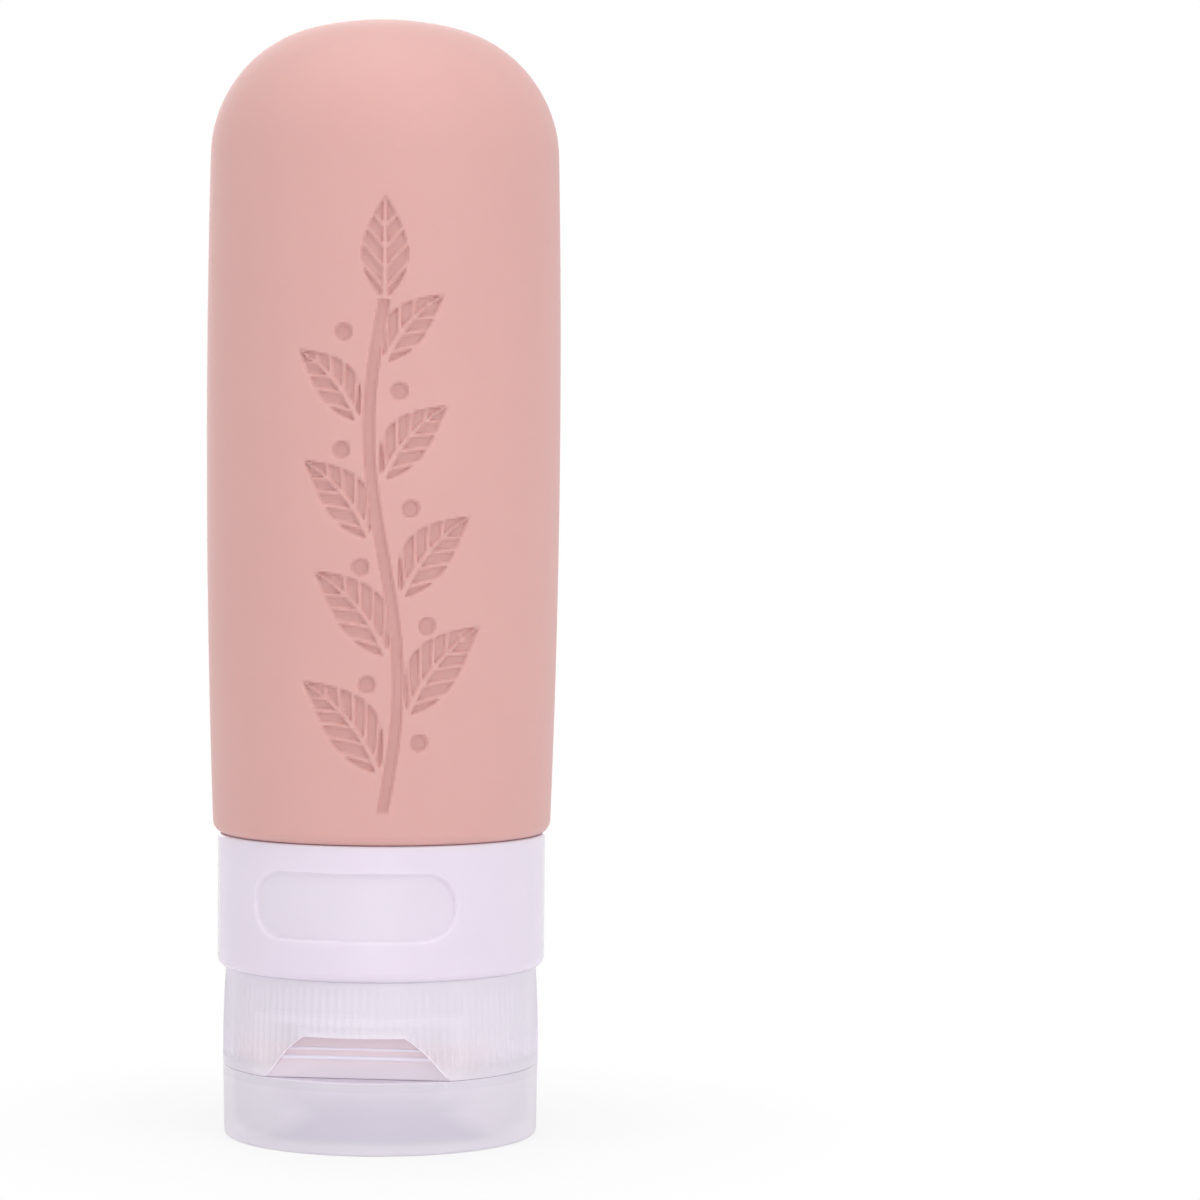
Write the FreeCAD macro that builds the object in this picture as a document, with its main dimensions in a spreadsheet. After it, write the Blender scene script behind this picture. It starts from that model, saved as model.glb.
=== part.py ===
import FreeCAD
import Part
import Sketcher
import os
import re

# Travel silicone bottle standing on its flip lid, in millimetres.
# Z runs up from the lid's foot face, the front with the label and the thumb scoop is -Y, the hinge is +Y.
doc = FreeCAD.newDocument("travel_silicone_bottle")
sheet = doc.addObject("Spreadsheet::Sheet", "Sizes")

# Every size of the bottle. A text that starts with "=" is worked out from other sizes.
SIZES = [
    # how far a cut runs past the surface that it cuts
    ("cut_over", "0.2"),
    # heights, counted up from the foot of the lid
    ("lid_height", "8.3"),
    ("parting_gap", "0.1"),
    ("parting_z", "=lid_height + parting_gap"),
    ("cap_height", "11.1"),
    ("cap_top_z", "=parting_z + cap_height"),
    ("collar_gap", "0.2"),
    ("collar_foot_z", "=cap_top_z + collar_gap"),
    ("collar_height", "15.5"),
    ("collar_top_z", "=collar_foot_z + collar_height"),
    ("body_height", "78.5"),
    ("dome_z", "=collar_top_z + body_height"),
    ("dome_height", "16.0"),
    ("top_z", "=dome_z + dome_height"),
    # lid
    ("lid_r", "=cap_r"),
    ("lid_wall", "1.2"),
    ("lid_floor", "1.4"),
    ("lid_draft", "0.15"),
    ("lid_edge_r", "0.8"),
    ("plug_gap", "0.15"),
    ("plug_r", "=nozzle_bore_r - plug_gap"),
    ("plug_wall", "0.9"),
    ("plug_reach", "0.3"),
    ("plug_top_z", "=parting_z + plug_reach"),
    ("plug_tip", "0.5"),
    ("ledge_depth", "2.6"),
    ("ledge_height", "2.2"),
    ("ledge_angle", "70"),
    ("break_spare", "8"),
    ("break_angle", "=ledge_angle + break_spare"),
    # cap base
    ("cap_r", "18.4"),
    ("cap_taper", "0.3"),
    ("cap_top_r", "=cap_r - cap_taper"),
    ("cap_bulge", "0.12"),
    ("cap_chord", "=sqrt((cap_top_z - parting_z) ^ 2 + (cap_r - cap_top_r) ^ 2)"),
    ("cap_barrel_r", "=(cap_chord ^ 2 / 4 + cap_bulge ^ 2) / (2 * cap_bulge)"),
    ("cap_barrel_x", "=(cap_r + cap_top_r) / 2 - (cap_barrel_r - cap_bulge) * cap_height / cap_chord"),
    ("cap_barrel_z", "=(parting_z + cap_top_z) / 2 - (cap_barrel_r - cap_bulge) * (cap_r - cap_top_r) / cap_chord"),
    ("cap_wall", "1.2"),
    ("cap_edge_r", "0.4"),
    ("deck", "1.4"),
    ("deck_z", "=parting_z + deck"),
    ("skirt_r", "13.4"),
    ("skirt_wall", "1.2"),
    ("skirt_gap", "0.5"),
    ("register_gap", "0.15"),
    ("register_wall", "0.9"),
    ("register_height", "1.0"),
    ("nozzle_bore_r", "5"),
    ("nozzle_wall", "1.2"),
    ("nozzle_drop", "1.8"),
    ("rib_count", "120"),
    ("rib_depth", "0.16"),
    ("rib_share", "0.5"),
    ("flute_angle", "=360 / rib_count * (1 - rib_share)"),
    ("rib_foot", "1.0"),
    ("rib_head", "0.7"),
    ("flute_foot_z", "=parting_z + rib_foot"),
    ("flute_head_z", "=cap_top_z - rib_head"),
    ("flute_barrel_r", "=cap_barrel_r - rib_depth"),
    ("flute_foot_r", "=cap_barrel_x + sqrt(flute_barrel_r ^ 2 - (flute_foot_z - cap_barrel_z) ^ 2)"),
    ("flute_head_r", "=cap_barrel_x + sqrt(flute_barrel_r ^ 2 - (flute_head_z - cap_barrel_z) ^ 2)"),
    ("scoop_height", "5.4"),
    ("scoop_foot_w", "21.4"),
    ("scoop_top_w", "12.2"),
    ("scoop_depth", "3.6"),
    ("scoop_wall", "1.1"),
    ("scoop_block_angle", "78"),
    ("scoop_back_y", "=cap_r - scoop_depth"),
    # valve and its seat
    ("valve_r", "7.4"),
    ("valve_flange", "1.2"),
    ("valve_skin", "0.7"),
    ("valve_dip", "0.9"),
    ("valve_roll", "0.6"),
    ("slit_length", "5"),
    ("slit_width", "0.1"),
    ("ring_r", "8"),
    ("ring_bore_r", "5.6"),
    ("ring_height", "1.6"),
    ("ring_bevel", "0.6"),
    ("socket_gap", "0.1"),
    ("socket_wall", "0.9"),
    ("socket_bead", "0.25"),
    ("socket_bead_height", "0.5"),
    # collar
    ("collar_step", "0.7"),
    ("collar_r", "=cap_r + collar_step"),
    ("collar_wall", "1.2"),
    ("collar_web", "1.4"),
    ("collar_edge_r", "1.3"),
    ("collar_rim_r", "0.3"),
    ("neck_gap", "0.8"),
    ("neck_r", "=skirt_r - neck_gap"),
    ("neck_wall", "1.3"),
    ("neck_bore_r", "=neck_r - neck_wall"),
    ("label_height", "7.5"),
    ("label_angle", "77.4"),
    ("label_depth", "0.35"),
    ("label_drop", "7"),
    ("label_z", "=collar_top_z - label_drop"),
    ("label_corner_share", "0.47"),
    ("label_corner_r", "=label_height * label_corner_share"),
    # silicone body
    ("foot_overhang", "0.55"),
    ("foot_r", "=collar_r + foot_overhang"),
    ("shoulder_r", "20.25"),
    ("body_bulge", "0.6"),
    ("wall", "2.5"),
    ("neck_silicone", "1.7"),
    ("crown_r", "34.8"),
    ("silicone_gap", "0.05"),
    ("lip_height", "2.4"),
    ("lip_gap", "0.6"),
    ("lip_r", "=skirt_r - lip_gap"),
    ("lip_top_z", "=deck_z + lip_height"),
    ("throat_r", "=neck_bore_r - silicone_gap"),
    ("bore_r", "=throat_r - neck_silicone"),
    ("sleeve_r", "=collar_r - collar_wall - silicone_gap"),
    ("foot_edge_r", "1.5"),
    ("foot_edge_share", "0.95"),
    ("foot_round_r", "=min(foot_edge_r; foot_edge_share * (foot_r - sleeve_r))"),
    ("web_z", "=collar_foot_z + collar_web"),
    ("funnel_rise", "2.4"),
    ("body_chord", "=sqrt(body_height ^ 2 + (shoulder_r - foot_r) ^ 2)"),
    ("body_barrel_r", "=(body_chord ^ 2 / 4 + body_bulge ^ 2) / (2 * body_bulge)"),
    ("dome_r", "=(2 * crown_r * dome_height - shoulder_r ^ 2 - dome_height ^ 2) / (2 * (crown_r - shoulder_r))"),
    ("meet_x", "=crown_r * (shoulder_r - dome_r) / (crown_r - dome_r)"),
    ("meet_z", "=top_z - crown_r + crown_r * (crown_r - dome_height) / (crown_r - dome_r)"),
    ("meet_in_x", "=(crown_r - wall) * (shoulder_r - dome_r) / (crown_r - dome_r)"),
    ("meet_in_z", "=top_z - crown_r + (crown_r - wall) * (crown_r - dome_height) / (crown_r - dome_r)"),
    # living hinge
    ("hinge_seat", "0.02"),
    ("hinge_thick", "0.65"),
    ("strap_w", "7.9"),
    ("strap_h", "0.95"),
    ("wing_outer_x", "9.4"),
    ("wing_inner_x", "4.1"),
    ("wing_outer_h", "6.3"),
    ("wing_inner_h", "1.0"),
]

for number, (name, text) in enumerate(SIZES, start=1):
    cell = "B%d" % number
    sheet.set("A%d" % number, name)
    sheet.set(cell, text)
    sheet.setAlias(cell, name)
doc.recompute()

NAMES = sorted((name for name, text in SIZES), key=len, reverse=True)
NAME_PATTERN = re.compile(r"\b(" + "|".join(NAMES) + r")\b")


def bound(text):
    """An expression over the sheet's sizes, from their bare names."""
    return NAME_PATTERN.sub(r"Sizes.\1", text)


def value(text):
    """The number that an expression over the sizes gives now."""
    number = sheet.evalExpression(bound(text))
    return float(getattr(number, "Value", number))


def new_body(name):
    body = doc.addObject("PartDesign::Body", name)
    body.Label = name
    body.Placement = FreeCAD.Placement()
    return body


def new_sketch(body, name, plane):
    sketch = body.newObject("Sketcher::SketchObject", name)
    flat = [feature for feature in body.Origin.OriginFeatures if feature.Role == plane][0]
    sketch.AttachmentSupport = [(flat, "")]
    sketch.MapMode = "FlatFace"
    return sketch


def hold(sketch, axis, geometry, end, text):
    """Fixes one coordinate of a sketch point at an expression, with a positive constraint value."""
    number = value(text)
    if abs(number) < 1e-9:
        line = -2 if axis == "X" else -1
        sketch.addConstraint(Sketcher.Constraint("PointOnObject", geometry, end, line))
        return
    if number > 0:
        constraint = Sketcher.Constraint("Distance" + axis, -1, 1, geometry, end, number)
        formula = text
    else:
        constraint = Sketcher.Constraint("Distance" + axis, geometry, end, -1, 1, -number)
        formula = "-(" + text + ")"
    index = sketch.addConstraint(constraint)
    sketch.setExpression("Constraints[%d]" % index, bound(formula))


def outline(sketch, corners):
    """Draws a closed outline. A corner is (x, y), or (x, y, radius, side) where an arc runs from it to the next one.

    Side is 1 where the arc bulges to the right of the way it runs, and -1 where it bulges to the left.
    """
    count = len(corners)
    points = [FreeCAD.Vector(value(corner[0]), value(corner[1]), 0) for corner in corners]
    ends = []
    for index, corner in enumerate(corners):
        start = points[index]
        stop = points[(index + 1) % count]
        if len(corner) == 2:
            geometry = sketch.addGeometry(Part.LineSegment(start, stop), False)
            ends.append((geometry, 1, 2))
            continue
        radius = value(corner[2])
        chord = stop - start
        half = chord.Length / 2
        sagitta = radius - (radius * radius - half * half) ** 0.5
        right = FreeCAD.Vector(chord.y, -chord.x, 0).normalize()
        middle = (start + stop) * 0.5 + right * (sagitta * corner[3])
        geometry = sketch.addGeometry(Part.Arc(start, middle, stop), False)
        first = sketch.getPoint(geometry, 1)
        forward = (FreeCAD.Vector(first.x, first.y, 0) - start).Length < 1e-6
        ends.append((geometry, 1, 2) if forward else (geometry, 2, 1))
    for index in range(count):
        here = ends[index]
        after = ends[(index + 1) % count]
        sketch.addConstraint(Sketcher.Constraint("Coincident", here[0], here[2], after[0], after[1]))
    for index, corner in enumerate(corners):
        geometry, start_end, stop_end = ends[index]
        hold(sketch, "X", geometry, start_end, corner[0])
        hold(sketch, "Y", geometry, start_end, corner[1])
        if len(corner) == 4:
            index = sketch.addConstraint(Sketcher.Constraint("Radius", geometry, value(corner[2])))
            sketch.setExpression("Constraints[%d]" % index, bound(corner[2]))
    doc.recompute()


def revolve(body, name, sketch, angle=None):
    feature = body.newObject("PartDesign::Revolution", name)
    feature.Profile = sketch
    feature.ReferenceAxis = (sketch, ["V_Axis"])
    feature.Angle = 360
    if angle:
        feature.Midplane = True
        feature.setExpression("Angle", bound(angle))
    sketch.Visibility = False
    doc.recompute()
    return feature


def groove(body, name, sketch, angle):
    feature = body.newObject("PartDesign::Groove", name)
    feature.Profile = sketch
    feature.ReferenceAxis = (sketch, ["V_Axis"])
    feature.Midplane = True
    feature.Angle = 360
    feature.setExpression("Angle", bound(angle))
    sketch.Visibility = False
    doc.recompute()
    return feature


def ring_of(body, name, base, count):
    """Repeats a feature all round the body's axis."""
    axis = [feature for feature in body.Origin.OriginFeatures if feature.Role == "Z_Axis"][0]
    feature = body.newObject("PartDesign::PolarPattern", name)
    feature.Originals = [base]
    feature.Axis = (axis, [""])
    feature.Angle = 360
    feature.setExpression("Occurrences", bound(count))
    body.Tip = feature
    doc.recompute()
    return feature


def pocket(body, name, sketch, length, backward):
    """Cuts a sketch's outline. Backward cuts along the sketch's normal, the other way cuts against it."""
    feature = body.newObject("PartDesign::Pocket", name)
    feature.Profile = sketch
    feature.setExpression("Length", bound(length))
    feature.Reversed = backward
    sketch.Visibility = False
    doc.recompute()
    return feature


def round_edges(body, name, base, radius, wanted):
    """Rounds the edges of a feature that wanted picks by their middle point and length."""
    chosen = []
    for number, edge in enumerate(base.Shape.Edges, start=1):
        if len(edge.Vertexes) == 0:
            continue
        low, high = edge.ParameterRange
        if wanted(edge.valueAt((low + high) / 2), edge):
            chosen.append("Edge%d" % number)
    feature = body.newObject("PartDesign::Fillet", name)
    feature.Base = (base, chosen)
    feature.setExpression("Radius", bound(radius))
    doc.recompute()
    return feature


def near(number, text):
    return abs(number - value(text)) < 0.02


def flat_radius(point):
    return (point.x * point.x + point.y * point.y) ** 0.5


# Silicone body: neck with a lip under the cap's deck, a shoulder inside the collar's sleeve, a barrelled wall
# and a dome of two tangent arcs, hollow at one wall thickness.
silicone_body = new_body("silicone_body")
sketch = new_sketch(silicone_body, "silicone_profile", "XZ_Plane")
outline(sketch, [
    ("bore_r", "deck_z"),
    ("lip_r", "deck_z"),
    ("lip_r", "lip_top_z"),
    ("throat_r", "lip_top_z"),
    ("throat_r", "web_z"),
    ("sleeve_r", "web_z"),
    ("sleeve_r", "collar_top_z"),
    ("foot_r", "collar_top_z", "body_barrel_r", 1),
    ("shoulder_r", "dome_z", "dome_r", 1),
    ("meet_x", "meet_z", "crown_r", 1),
    ("0", "top_z"),
    ("0", "top_z - wall", "crown_r - wall", -1),
    ("meet_in_x", "meet_in_z", "dome_r - wall", -1),
    ("shoulder_r - wall", "dome_z", "body_barrel_r - wall", -1),
    ("foot_r - wall", "collar_top_z + wall"),
    ("sleeve_r - wall", "collar_top_z"),
    ("sleeve_r - wall", "web_z + wall + funnel_rise"),
    ("bore_r", "web_z + wall"),
])
silicone_solid = revolve(silicone_body, "silicone_turned", sketch)
round_edges(
    silicone_body, "silicone_foot_edge", silicone_solid, "foot_round_r",
    lambda point, edge: near(point.z, "collar_top_z") and near(flat_radius(point), "foot_r"),
)

# Collar: sleeve round the silicone shoulder, a web under it, the neck that carries the thread, and the
# pill-shaped label recess at the front.
collar = new_body("collar")
sketch = new_sketch(collar, "collar_profile", "XZ_Plane")
outline(sketch, [
    ("neck_bore_r", "lip_top_z"),
    ("neck_r", "lip_top_z"),
    ("neck_r", "collar_foot_z"),
    ("collar_r", "collar_foot_z"),
    ("collar_r", "collar_top_z"),
    ("collar_r - collar_wall", "collar_top_z"),
    ("collar_r - collar_wall", "web_z"),
    ("neck_bore_r", "web_z"),
])
feature = revolve(collar, "collar_turned", sketch)
feature = round_edges(
    collar, "collar_foot_edge", feature, "collar_edge_r",
    lambda point, edge: near(point.z, "collar_foot_z") and near(flat_radius(point), "collar_r"),
)
feature = round_edges(
    collar, "collar_rim", feature, "collar_rim_r",
    lambda point, edge: near(point.z, "collar_top_z") and near(flat_radius(point), "collar_r"),
)
sketch = new_sketch(collar, "label_profile", "YZ_Plane")
outline(sketch, [
    ("-(collar_r - label_depth)", "label_z - label_height / 2"),
    ("-(collar_r - label_depth)", "label_z + label_height / 2"),
    ("-(collar_r + cut_over)", "label_z + label_height / 2"),
    ("-(collar_r + cut_over)", "label_z - label_height / 2"),
])
feature = groove(collar, "label_recess", sketch, "label_angle")
round_edges(
    collar, "label_ends", feature, "label_corner_r",
    lambda point, edge: near(edge.Length, "label_depth") and abs(point.z - value("label_z")) < value("label_height"),
)

# Cap base: screw cap with its deck, nozzle, threaded skirt, valve socket and the ring that locates the lid,
# then the flutes between the grip ribs and the thumb scoop.
cap_base = new_body("cap_base")
sketch = new_sketch(cap_base, "cap_profile", "XZ_Plane")
outline(sketch, [
    ("nozzle_bore_r", "parting_z - nozzle_drop"),
    ("nozzle_bore_r + nozzle_wall", "parting_z - nozzle_drop"),
    ("nozzle_bore_r + nozzle_wall", "parting_z"),
    ("lid_r - lid_wall - register_gap - register_wall", "parting_z"),
    ("lid_r - lid_wall - register_gap - register_wall", "parting_z - register_height"),
    ("lid_r - lid_wall - register_gap", "parting_z - register_height"),
    ("lid_r - lid_wall - register_gap", "parting_z"),
    ("cap_r", "parting_z", "cap_barrel_r", 1),
    ("cap_top_r", "cap_top_z"),
    ("cap_top_r - cap_wall", "cap_top_z"),
    ("cap_r - cap_wall", "deck_z"),
    ("skirt_r + skirt_wall", "deck_z"),
    ("skirt_r + skirt_wall", "cap_top_z - skirt_gap"),
    ("skirt_r", "cap_top_z - skirt_gap"),
    ("skirt_r", "deck_z"),
    ("ring_r + socket_gap + socket_wall", "deck_z"),
    ("ring_r + socket_gap + socket_wall", "deck_z + valve_flange + ring_height + socket_gap + socket_bead_height"),
    ("ring_r + socket_gap - socket_bead", "deck_z + valve_flange + ring_height + socket_gap + socket_bead_height"),
    ("ring_r + socket_gap - socket_bead", "deck_z + valve_flange + ring_height + socket_gap"),
    ("ring_r + socket_gap", "deck_z + valve_flange + ring_height + socket_gap"),
    ("ring_r + socket_gap", "deck_z"),
    ("nozzle_bore_r", "deck_z"),
])
feature = revolve(cap_base, "cap_turned", sketch)
feature = round_edges(
    cap_base, "cap_foot_edge", feature, "cap_edge_r",
    lambda point, edge: near(point.z, "parting_z") and near(flat_radius(point), "cap_r"),
)
sketch = new_sketch(cap_base, "scoop_block_profile", "YZ_Plane")
outline(sketch, [
    ("-(skirt_r + skirt_wall / 2)", "deck_z - deck / 2"),
    ("-(cap_top_r - cap_wall / 2)", "deck_z - deck / 2"),
    ("-(cap_top_r - cap_wall / 2)", "parting_z + scoop_height + scoop_wall"),
    ("-(skirt_r + skirt_wall / 2)", "parting_z + scoop_height + scoop_wall"),
])
feature = revolve(cap_base, "scoop_block", sketch, "scoop_block_angle")
sketch = new_sketch(cap_base, "register_break_profile", "YZ_Plane")
outline(sketch, [
    ("-(lid_r - lid_wall - register_gap - register_wall - cut_over)", "parting_z - register_height - cut_over"),
    ("-(lid_r - lid_wall)", "parting_z - register_height - cut_over"),
    ("-(lid_r - lid_wall)", "parting_z"),
    ("-(lid_r - lid_wall - register_gap - register_wall - cut_over)", "parting_z"),
])
feature = groove(cap_base, "register_break", sketch, "break_angle")
sketch = new_sketch(cap_base, "flute_profile", "YZ_Plane")
outline(sketch, [
    ("-flute_foot_r", "flute_foot_z"),
    ("-(cap_r + cap_bulge + cut_over)", "flute_foot_z"),
    ("-(cap_r + cap_bulge + cut_over)", "flute_head_z"),
    ("-flute_head_r", "flute_head_z", "flute_barrel_r", 1),
])
before_cut = feature.Shape.Volume
feature = groove(cap_base, "grip_flute", sketch, "flute_angle")
one_flute = before_cut - feature.Shape.Volume
feature = ring_of(cap_base, "grip_flutes", feature, "rib_count")
flutes_removed = before_cut - feature.Shape.Volume
sketch = new_sketch(cap_base, "scoop_profile", "XZ_Plane")
outline(sketch, [
    ("-scoop_foot_w / 2", "parting_z - cut_over"),
    ("scoop_foot_w / 2", "parting_z - cut_over"),
    ("scoop_foot_w / 2", "parting_z"),
    ("scoop_top_w / 2", "parting_z + scoop_height"),
    ("-scoop_top_w / 2", "parting_z + scoop_height"),
    ("-scoop_foot_w / 2", "parting_z"),
])
# The cut starts at the sketch's plane moved forward to the back wall of the scoop.
sketch.AttachmentOffset = FreeCAD.Placement(FreeCAD.Vector(0, 0, value("scoop_back_y")), FreeCAD.Rotation())
sketch.setExpression("AttachmentOffset.Base.z", bound("scoop_back_y"))
doc.recompute()
before_cut = feature.Shape.Volume
feature = pocket(cap_base, "thumb_scoop", sketch, "scoop_depth + cut_over", True)
scoop_removed = before_cut - feature.Shape.Volume

# Slit valve: flange under the retaining ring and a dished skin across the nozzle, cut by a cross slit.
slit_valve = new_body("slit_valve")
sketch = new_sketch(slit_valve, "valve_profile", "XZ_Plane")
outline(sketch, [
    ("0", "deck_z + valve_dip"),
    ("nozzle_bore_r - valve_roll", "deck_z"),
    ("valve_r", "deck_z"),
    ("valve_r", "deck_z + valve_flange"),
    ("nozzle_bore_r", "deck_z + valve_flange"),
    ("nozzle_bore_r - valve_roll", "deck_z + valve_skin"),
    ("0", "deck_z + valve_dip + valve_skin"),
])
feature = revolve(slit_valve, "valve_turned", sketch)
for name, long_side, short_side in (("slit_across", "slit_length", "slit_width"), ("slit_along", "slit_width", "slit_length")):
    sketch = new_sketch(slit_valve, name + "_outline", "XY_Plane")
    outline(sketch, [
        ("-" + long_side + " / 2", "-" + short_side + " / 2"),
        (long_side + " / 2", "-" + short_side + " / 2"),
        (long_side + " / 2", short_side + " / 2"),
        ("-" + long_side + " / 2", short_side + " / 2"),
    ])
    pocket(slit_valve, name, sketch, "deck_z + valve_dip + valve_skin + cut_over", True)

# Valve retainer: plain ring that snaps into the socket behind the valve's flange.
valve_retainer = new_body("valve_retainer")
sketch = new_sketch(valve_retainer, "ring_profile", "XZ_Plane")
outline(sketch, [
    ("ring_bore_r", "deck_z + valve_flange"),
    ("ring_r", "deck_z + valve_flange"),
    ("ring_r", "deck_z + valve_flange + ring_height"),
    ("ring_bore_r + ring_bevel", "deck_z + valve_flange + ring_height"),
    ("ring_bore_r", "deck_z + valve_flange + ring_height - ring_bevel"),
])
revolve(valve_retainer, "ring_turned", sketch)

# Lid: cup with a slight draft, a hollow plug that shuts the nozzle, and a thumb ledge inside the front wall.
cap_lid = new_body("cap_lid")
sketch = new_sketch(cap_lid, "lid_profile", "XZ_Plane")
outline(sketch, [
    ("0", "0"),
    ("lid_r - lid_draft", "0"),
    ("lid_r", "lid_height"),
    ("lid_r - lid_wall", "lid_height"),
    ("lid_r - lid_draft - lid_wall", "lid_floor"),
    ("plug_r", "lid_floor"),
    ("plug_r", "plug_top_z - plug_tip"),
    ("plug_r - plug_tip", "plug_top_z"),
    ("plug_r - plug_wall", "plug_top_z"),
    ("plug_r - plug_wall", "lid_floor"),
    ("0", "lid_floor"),
])
feature = revolve(cap_lid, "lid_turned", sketch)
feature = round_edges(
    cap_lid, "lid_foot_edge", feature, "lid_edge_r",
    lambda point, edge: near(point.z, "0") and near(flat_radius(point), "lid_r - lid_draft"),
)
sketch = new_sketch(cap_lid, "ledge_profile", "YZ_Plane")
outline(sketch, [
    ("-(lid_r - lid_wall / 2)", "lid_height"),
    ("-(lid_r - lid_wall - ledge_depth)", "lid_height"),
    ("-(lid_r - lid_wall - ledge_depth)", "lid_height - ledge_height"),
    ("-(lid_r - lid_wall / 2)", "lid_height - ledge_height - ledge_depth / 2"),
])
revolve(cap_lid, "thumb_ledge", sketch, "ledge_angle")

# Living hinge: a strap on the parting line and two flaps beside it, all bent round the back of the cap.


def hinge_piece(name, corners):
    """A plate of the hinge's thickness against the cap's wall, with the outline seen from behind."""
    sketch = doc.addObject("Sketcher::SketchObject", name + "_outline")
    sketch.Placement = FreeCAD.Placement(FreeCAD.Vector(), FreeCAD.Rotation(FreeCAD.Vector(1, 0, 0), 90))
    outline(sketch, corners)
    prism = doc.addObject("Part::Extrusion", name + "_prism")
    prism.Base = sketch
    prism.DirMode = "Custom"
    prism.Dir = FreeCAD.Vector(0, 1, 0)
    prism.setExpression("LengthFwd", bound("cap_r + hinge_seat + hinge_thick + cut_over"))
    prism.Solid = True
    outer = doc.addObject("Part::Cylinder", name + "_outer")
    outer.setExpression("Radius", bound("cap_r + hinge_seat + hinge_thick"))
    outer.setExpression("Height", bound("cap_top_z"))
    inner = doc.addObject("Part::Cylinder", name + "_inner")
    inner.setExpression("Radius", bound("cap_r + hinge_seat"))
    inner.setExpression("Height", bound("cap_top_z"))
    ring = doc.addObject("Part::Cut", name + "_ring")
    ring.Base = outer
    ring.Tool = inner
    plate = doc.addObject("Part::MultiCommon", name)
    plate.Shapes = [prism, ring]
    plate.Label = name
    doc.recompute()
    return plate


hinge_strap = hinge_piece("hinge_strap", [
    ("-strap_w / 2", "parting_z - parting_gap / 2 - strap_h / 2"),
    ("strap_w / 2", "parting_z - parting_gap / 2 - strap_h / 2"),
    ("strap_w / 2", "parting_z - parting_gap / 2 + strap_h / 2"),
    ("-strap_w / 2", "parting_z - parting_gap / 2 + strap_h / 2"),
])
wings = []
for name, side in (("hinge_wing_left", "-"), ("hinge_wing_right", "")):
    wings.append(hinge_piece(name, [
        (side + "wing_inner_x", "parting_z - parting_gap / 2 - wing_inner_h / 2"),
        (side + "wing_outer_x", "parting_z - parting_gap / 2 - wing_outer_h / 2"),
        (side + "wing_outer_x", "parting_z - parting_gap / 2 + wing_outer_h / 2"),
        (side + "wing_inner_x", "parting_z - parting_gap / 2 + wing_inner_h / 2"),
    ]))

doc.recompute()

# Every object must be sound, and each piece goes to its own file.
for item in doc.Objects:
    if "Invalid" in item.State or "Error" in item.State:
        raise RuntimeError("%s didn't build: %s" % (item.Name, item.State))

os.makedirs("parts", exist_ok=True)
pieces = [silicone_body, collar, cap_base, slit_valve, valve_retainer, cap_lid, hinge_strap] + wings
for piece in pieces:
    if piece.Shape.isNull() or not piece.Shape.isValid() or len(piece.Shape.Solids) != 1:
        raise RuntimeError("%s isn't one sound solid" % piece.Label)
    box = piece.Shape.BoundBox
    print("%-18s %9.1f mm3  z %.2f to %.2f" % (piece.Label, piece.Shape.Volume, box.ZMin, box.ZMax))
    piece.Shape.exportStep("parts/%s.step" % piece.Label)
print("one flute removed %.3f mm3, all flutes %.1f mm3, scoop %.1f mm3" % (one_flute, flutes_removed, scoop_removed))
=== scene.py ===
import bpy
import math
import numpy as np
from mathutils import Matrix, Vector


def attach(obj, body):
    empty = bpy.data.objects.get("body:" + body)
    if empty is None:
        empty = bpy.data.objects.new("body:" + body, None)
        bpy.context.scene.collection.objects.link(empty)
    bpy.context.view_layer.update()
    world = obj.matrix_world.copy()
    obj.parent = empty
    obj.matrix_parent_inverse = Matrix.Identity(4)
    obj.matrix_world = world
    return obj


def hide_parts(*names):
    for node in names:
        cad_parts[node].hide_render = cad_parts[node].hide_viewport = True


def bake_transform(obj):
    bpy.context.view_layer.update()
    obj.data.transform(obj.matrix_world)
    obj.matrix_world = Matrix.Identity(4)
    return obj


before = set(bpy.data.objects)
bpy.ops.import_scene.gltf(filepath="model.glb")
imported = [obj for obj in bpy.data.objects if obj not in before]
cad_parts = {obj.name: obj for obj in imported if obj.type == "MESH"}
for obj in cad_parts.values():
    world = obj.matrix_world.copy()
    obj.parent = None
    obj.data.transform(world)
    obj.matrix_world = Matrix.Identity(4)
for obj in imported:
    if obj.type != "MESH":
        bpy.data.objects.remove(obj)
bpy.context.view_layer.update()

# Silicone body: the soft squeeze bottle, moulded in one piece from pink platinum silicone with a matt skin.
# Its neck is pushed through the collar and its lip is folded out under the cap's deck, which seals it.
# A leaf sprig is pressed into the front and the back of the mould's barrel.
MM = 0.001
BODY_FOOT_Z = 35.2
BODY_FOOT_R = 19.65
BODY_FOOT_ROUND = 1.5
BODY_SHOULDER_Z = 113.7
BODY_SHOULDER_R = 20.25
BODY_BULGE = 0.6
BODY_TOP_Z = 129.7
BODY_CROWN_R = 34.8
BODY_WALL = 2.5
SLEEVE_R = 17.85
THROAT_R = 11.25
BORE_R = 9.55
LIP_R = 12.8
LIP_ROUND = 0.5
DECK_Z = 9.8
LIP_TOP_Z = 12.2
WEB_Z = 21.1
FUNNEL_Z = 26.0
SPRIG_TURN = 10.0
SPRIG_HALF_WIDTH = 11.6
SPRIG_FOOT_Z = 39.0
SPRIG_HEAD_Z = 109.5
SPRIG_STEP = 0.24
SPRIG_DEPTH = 0.5
SPRIG_RIM = 0.34
SIDE_STEP_DEG = 6.0
SKIN_SPARE = 0.1
SPRIG_SPARE = 1.0
FOOT_STEPS = 7
SHOULDER_STEPS = 22
CROWN_STEPS = 14
INNER_DOME_STEPS = 8
INNER_FIRST_ROW = 10
INNER_ROW_SKIP = 32
WELD = 0.001
AXIS_SPARE = 1.0


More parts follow.
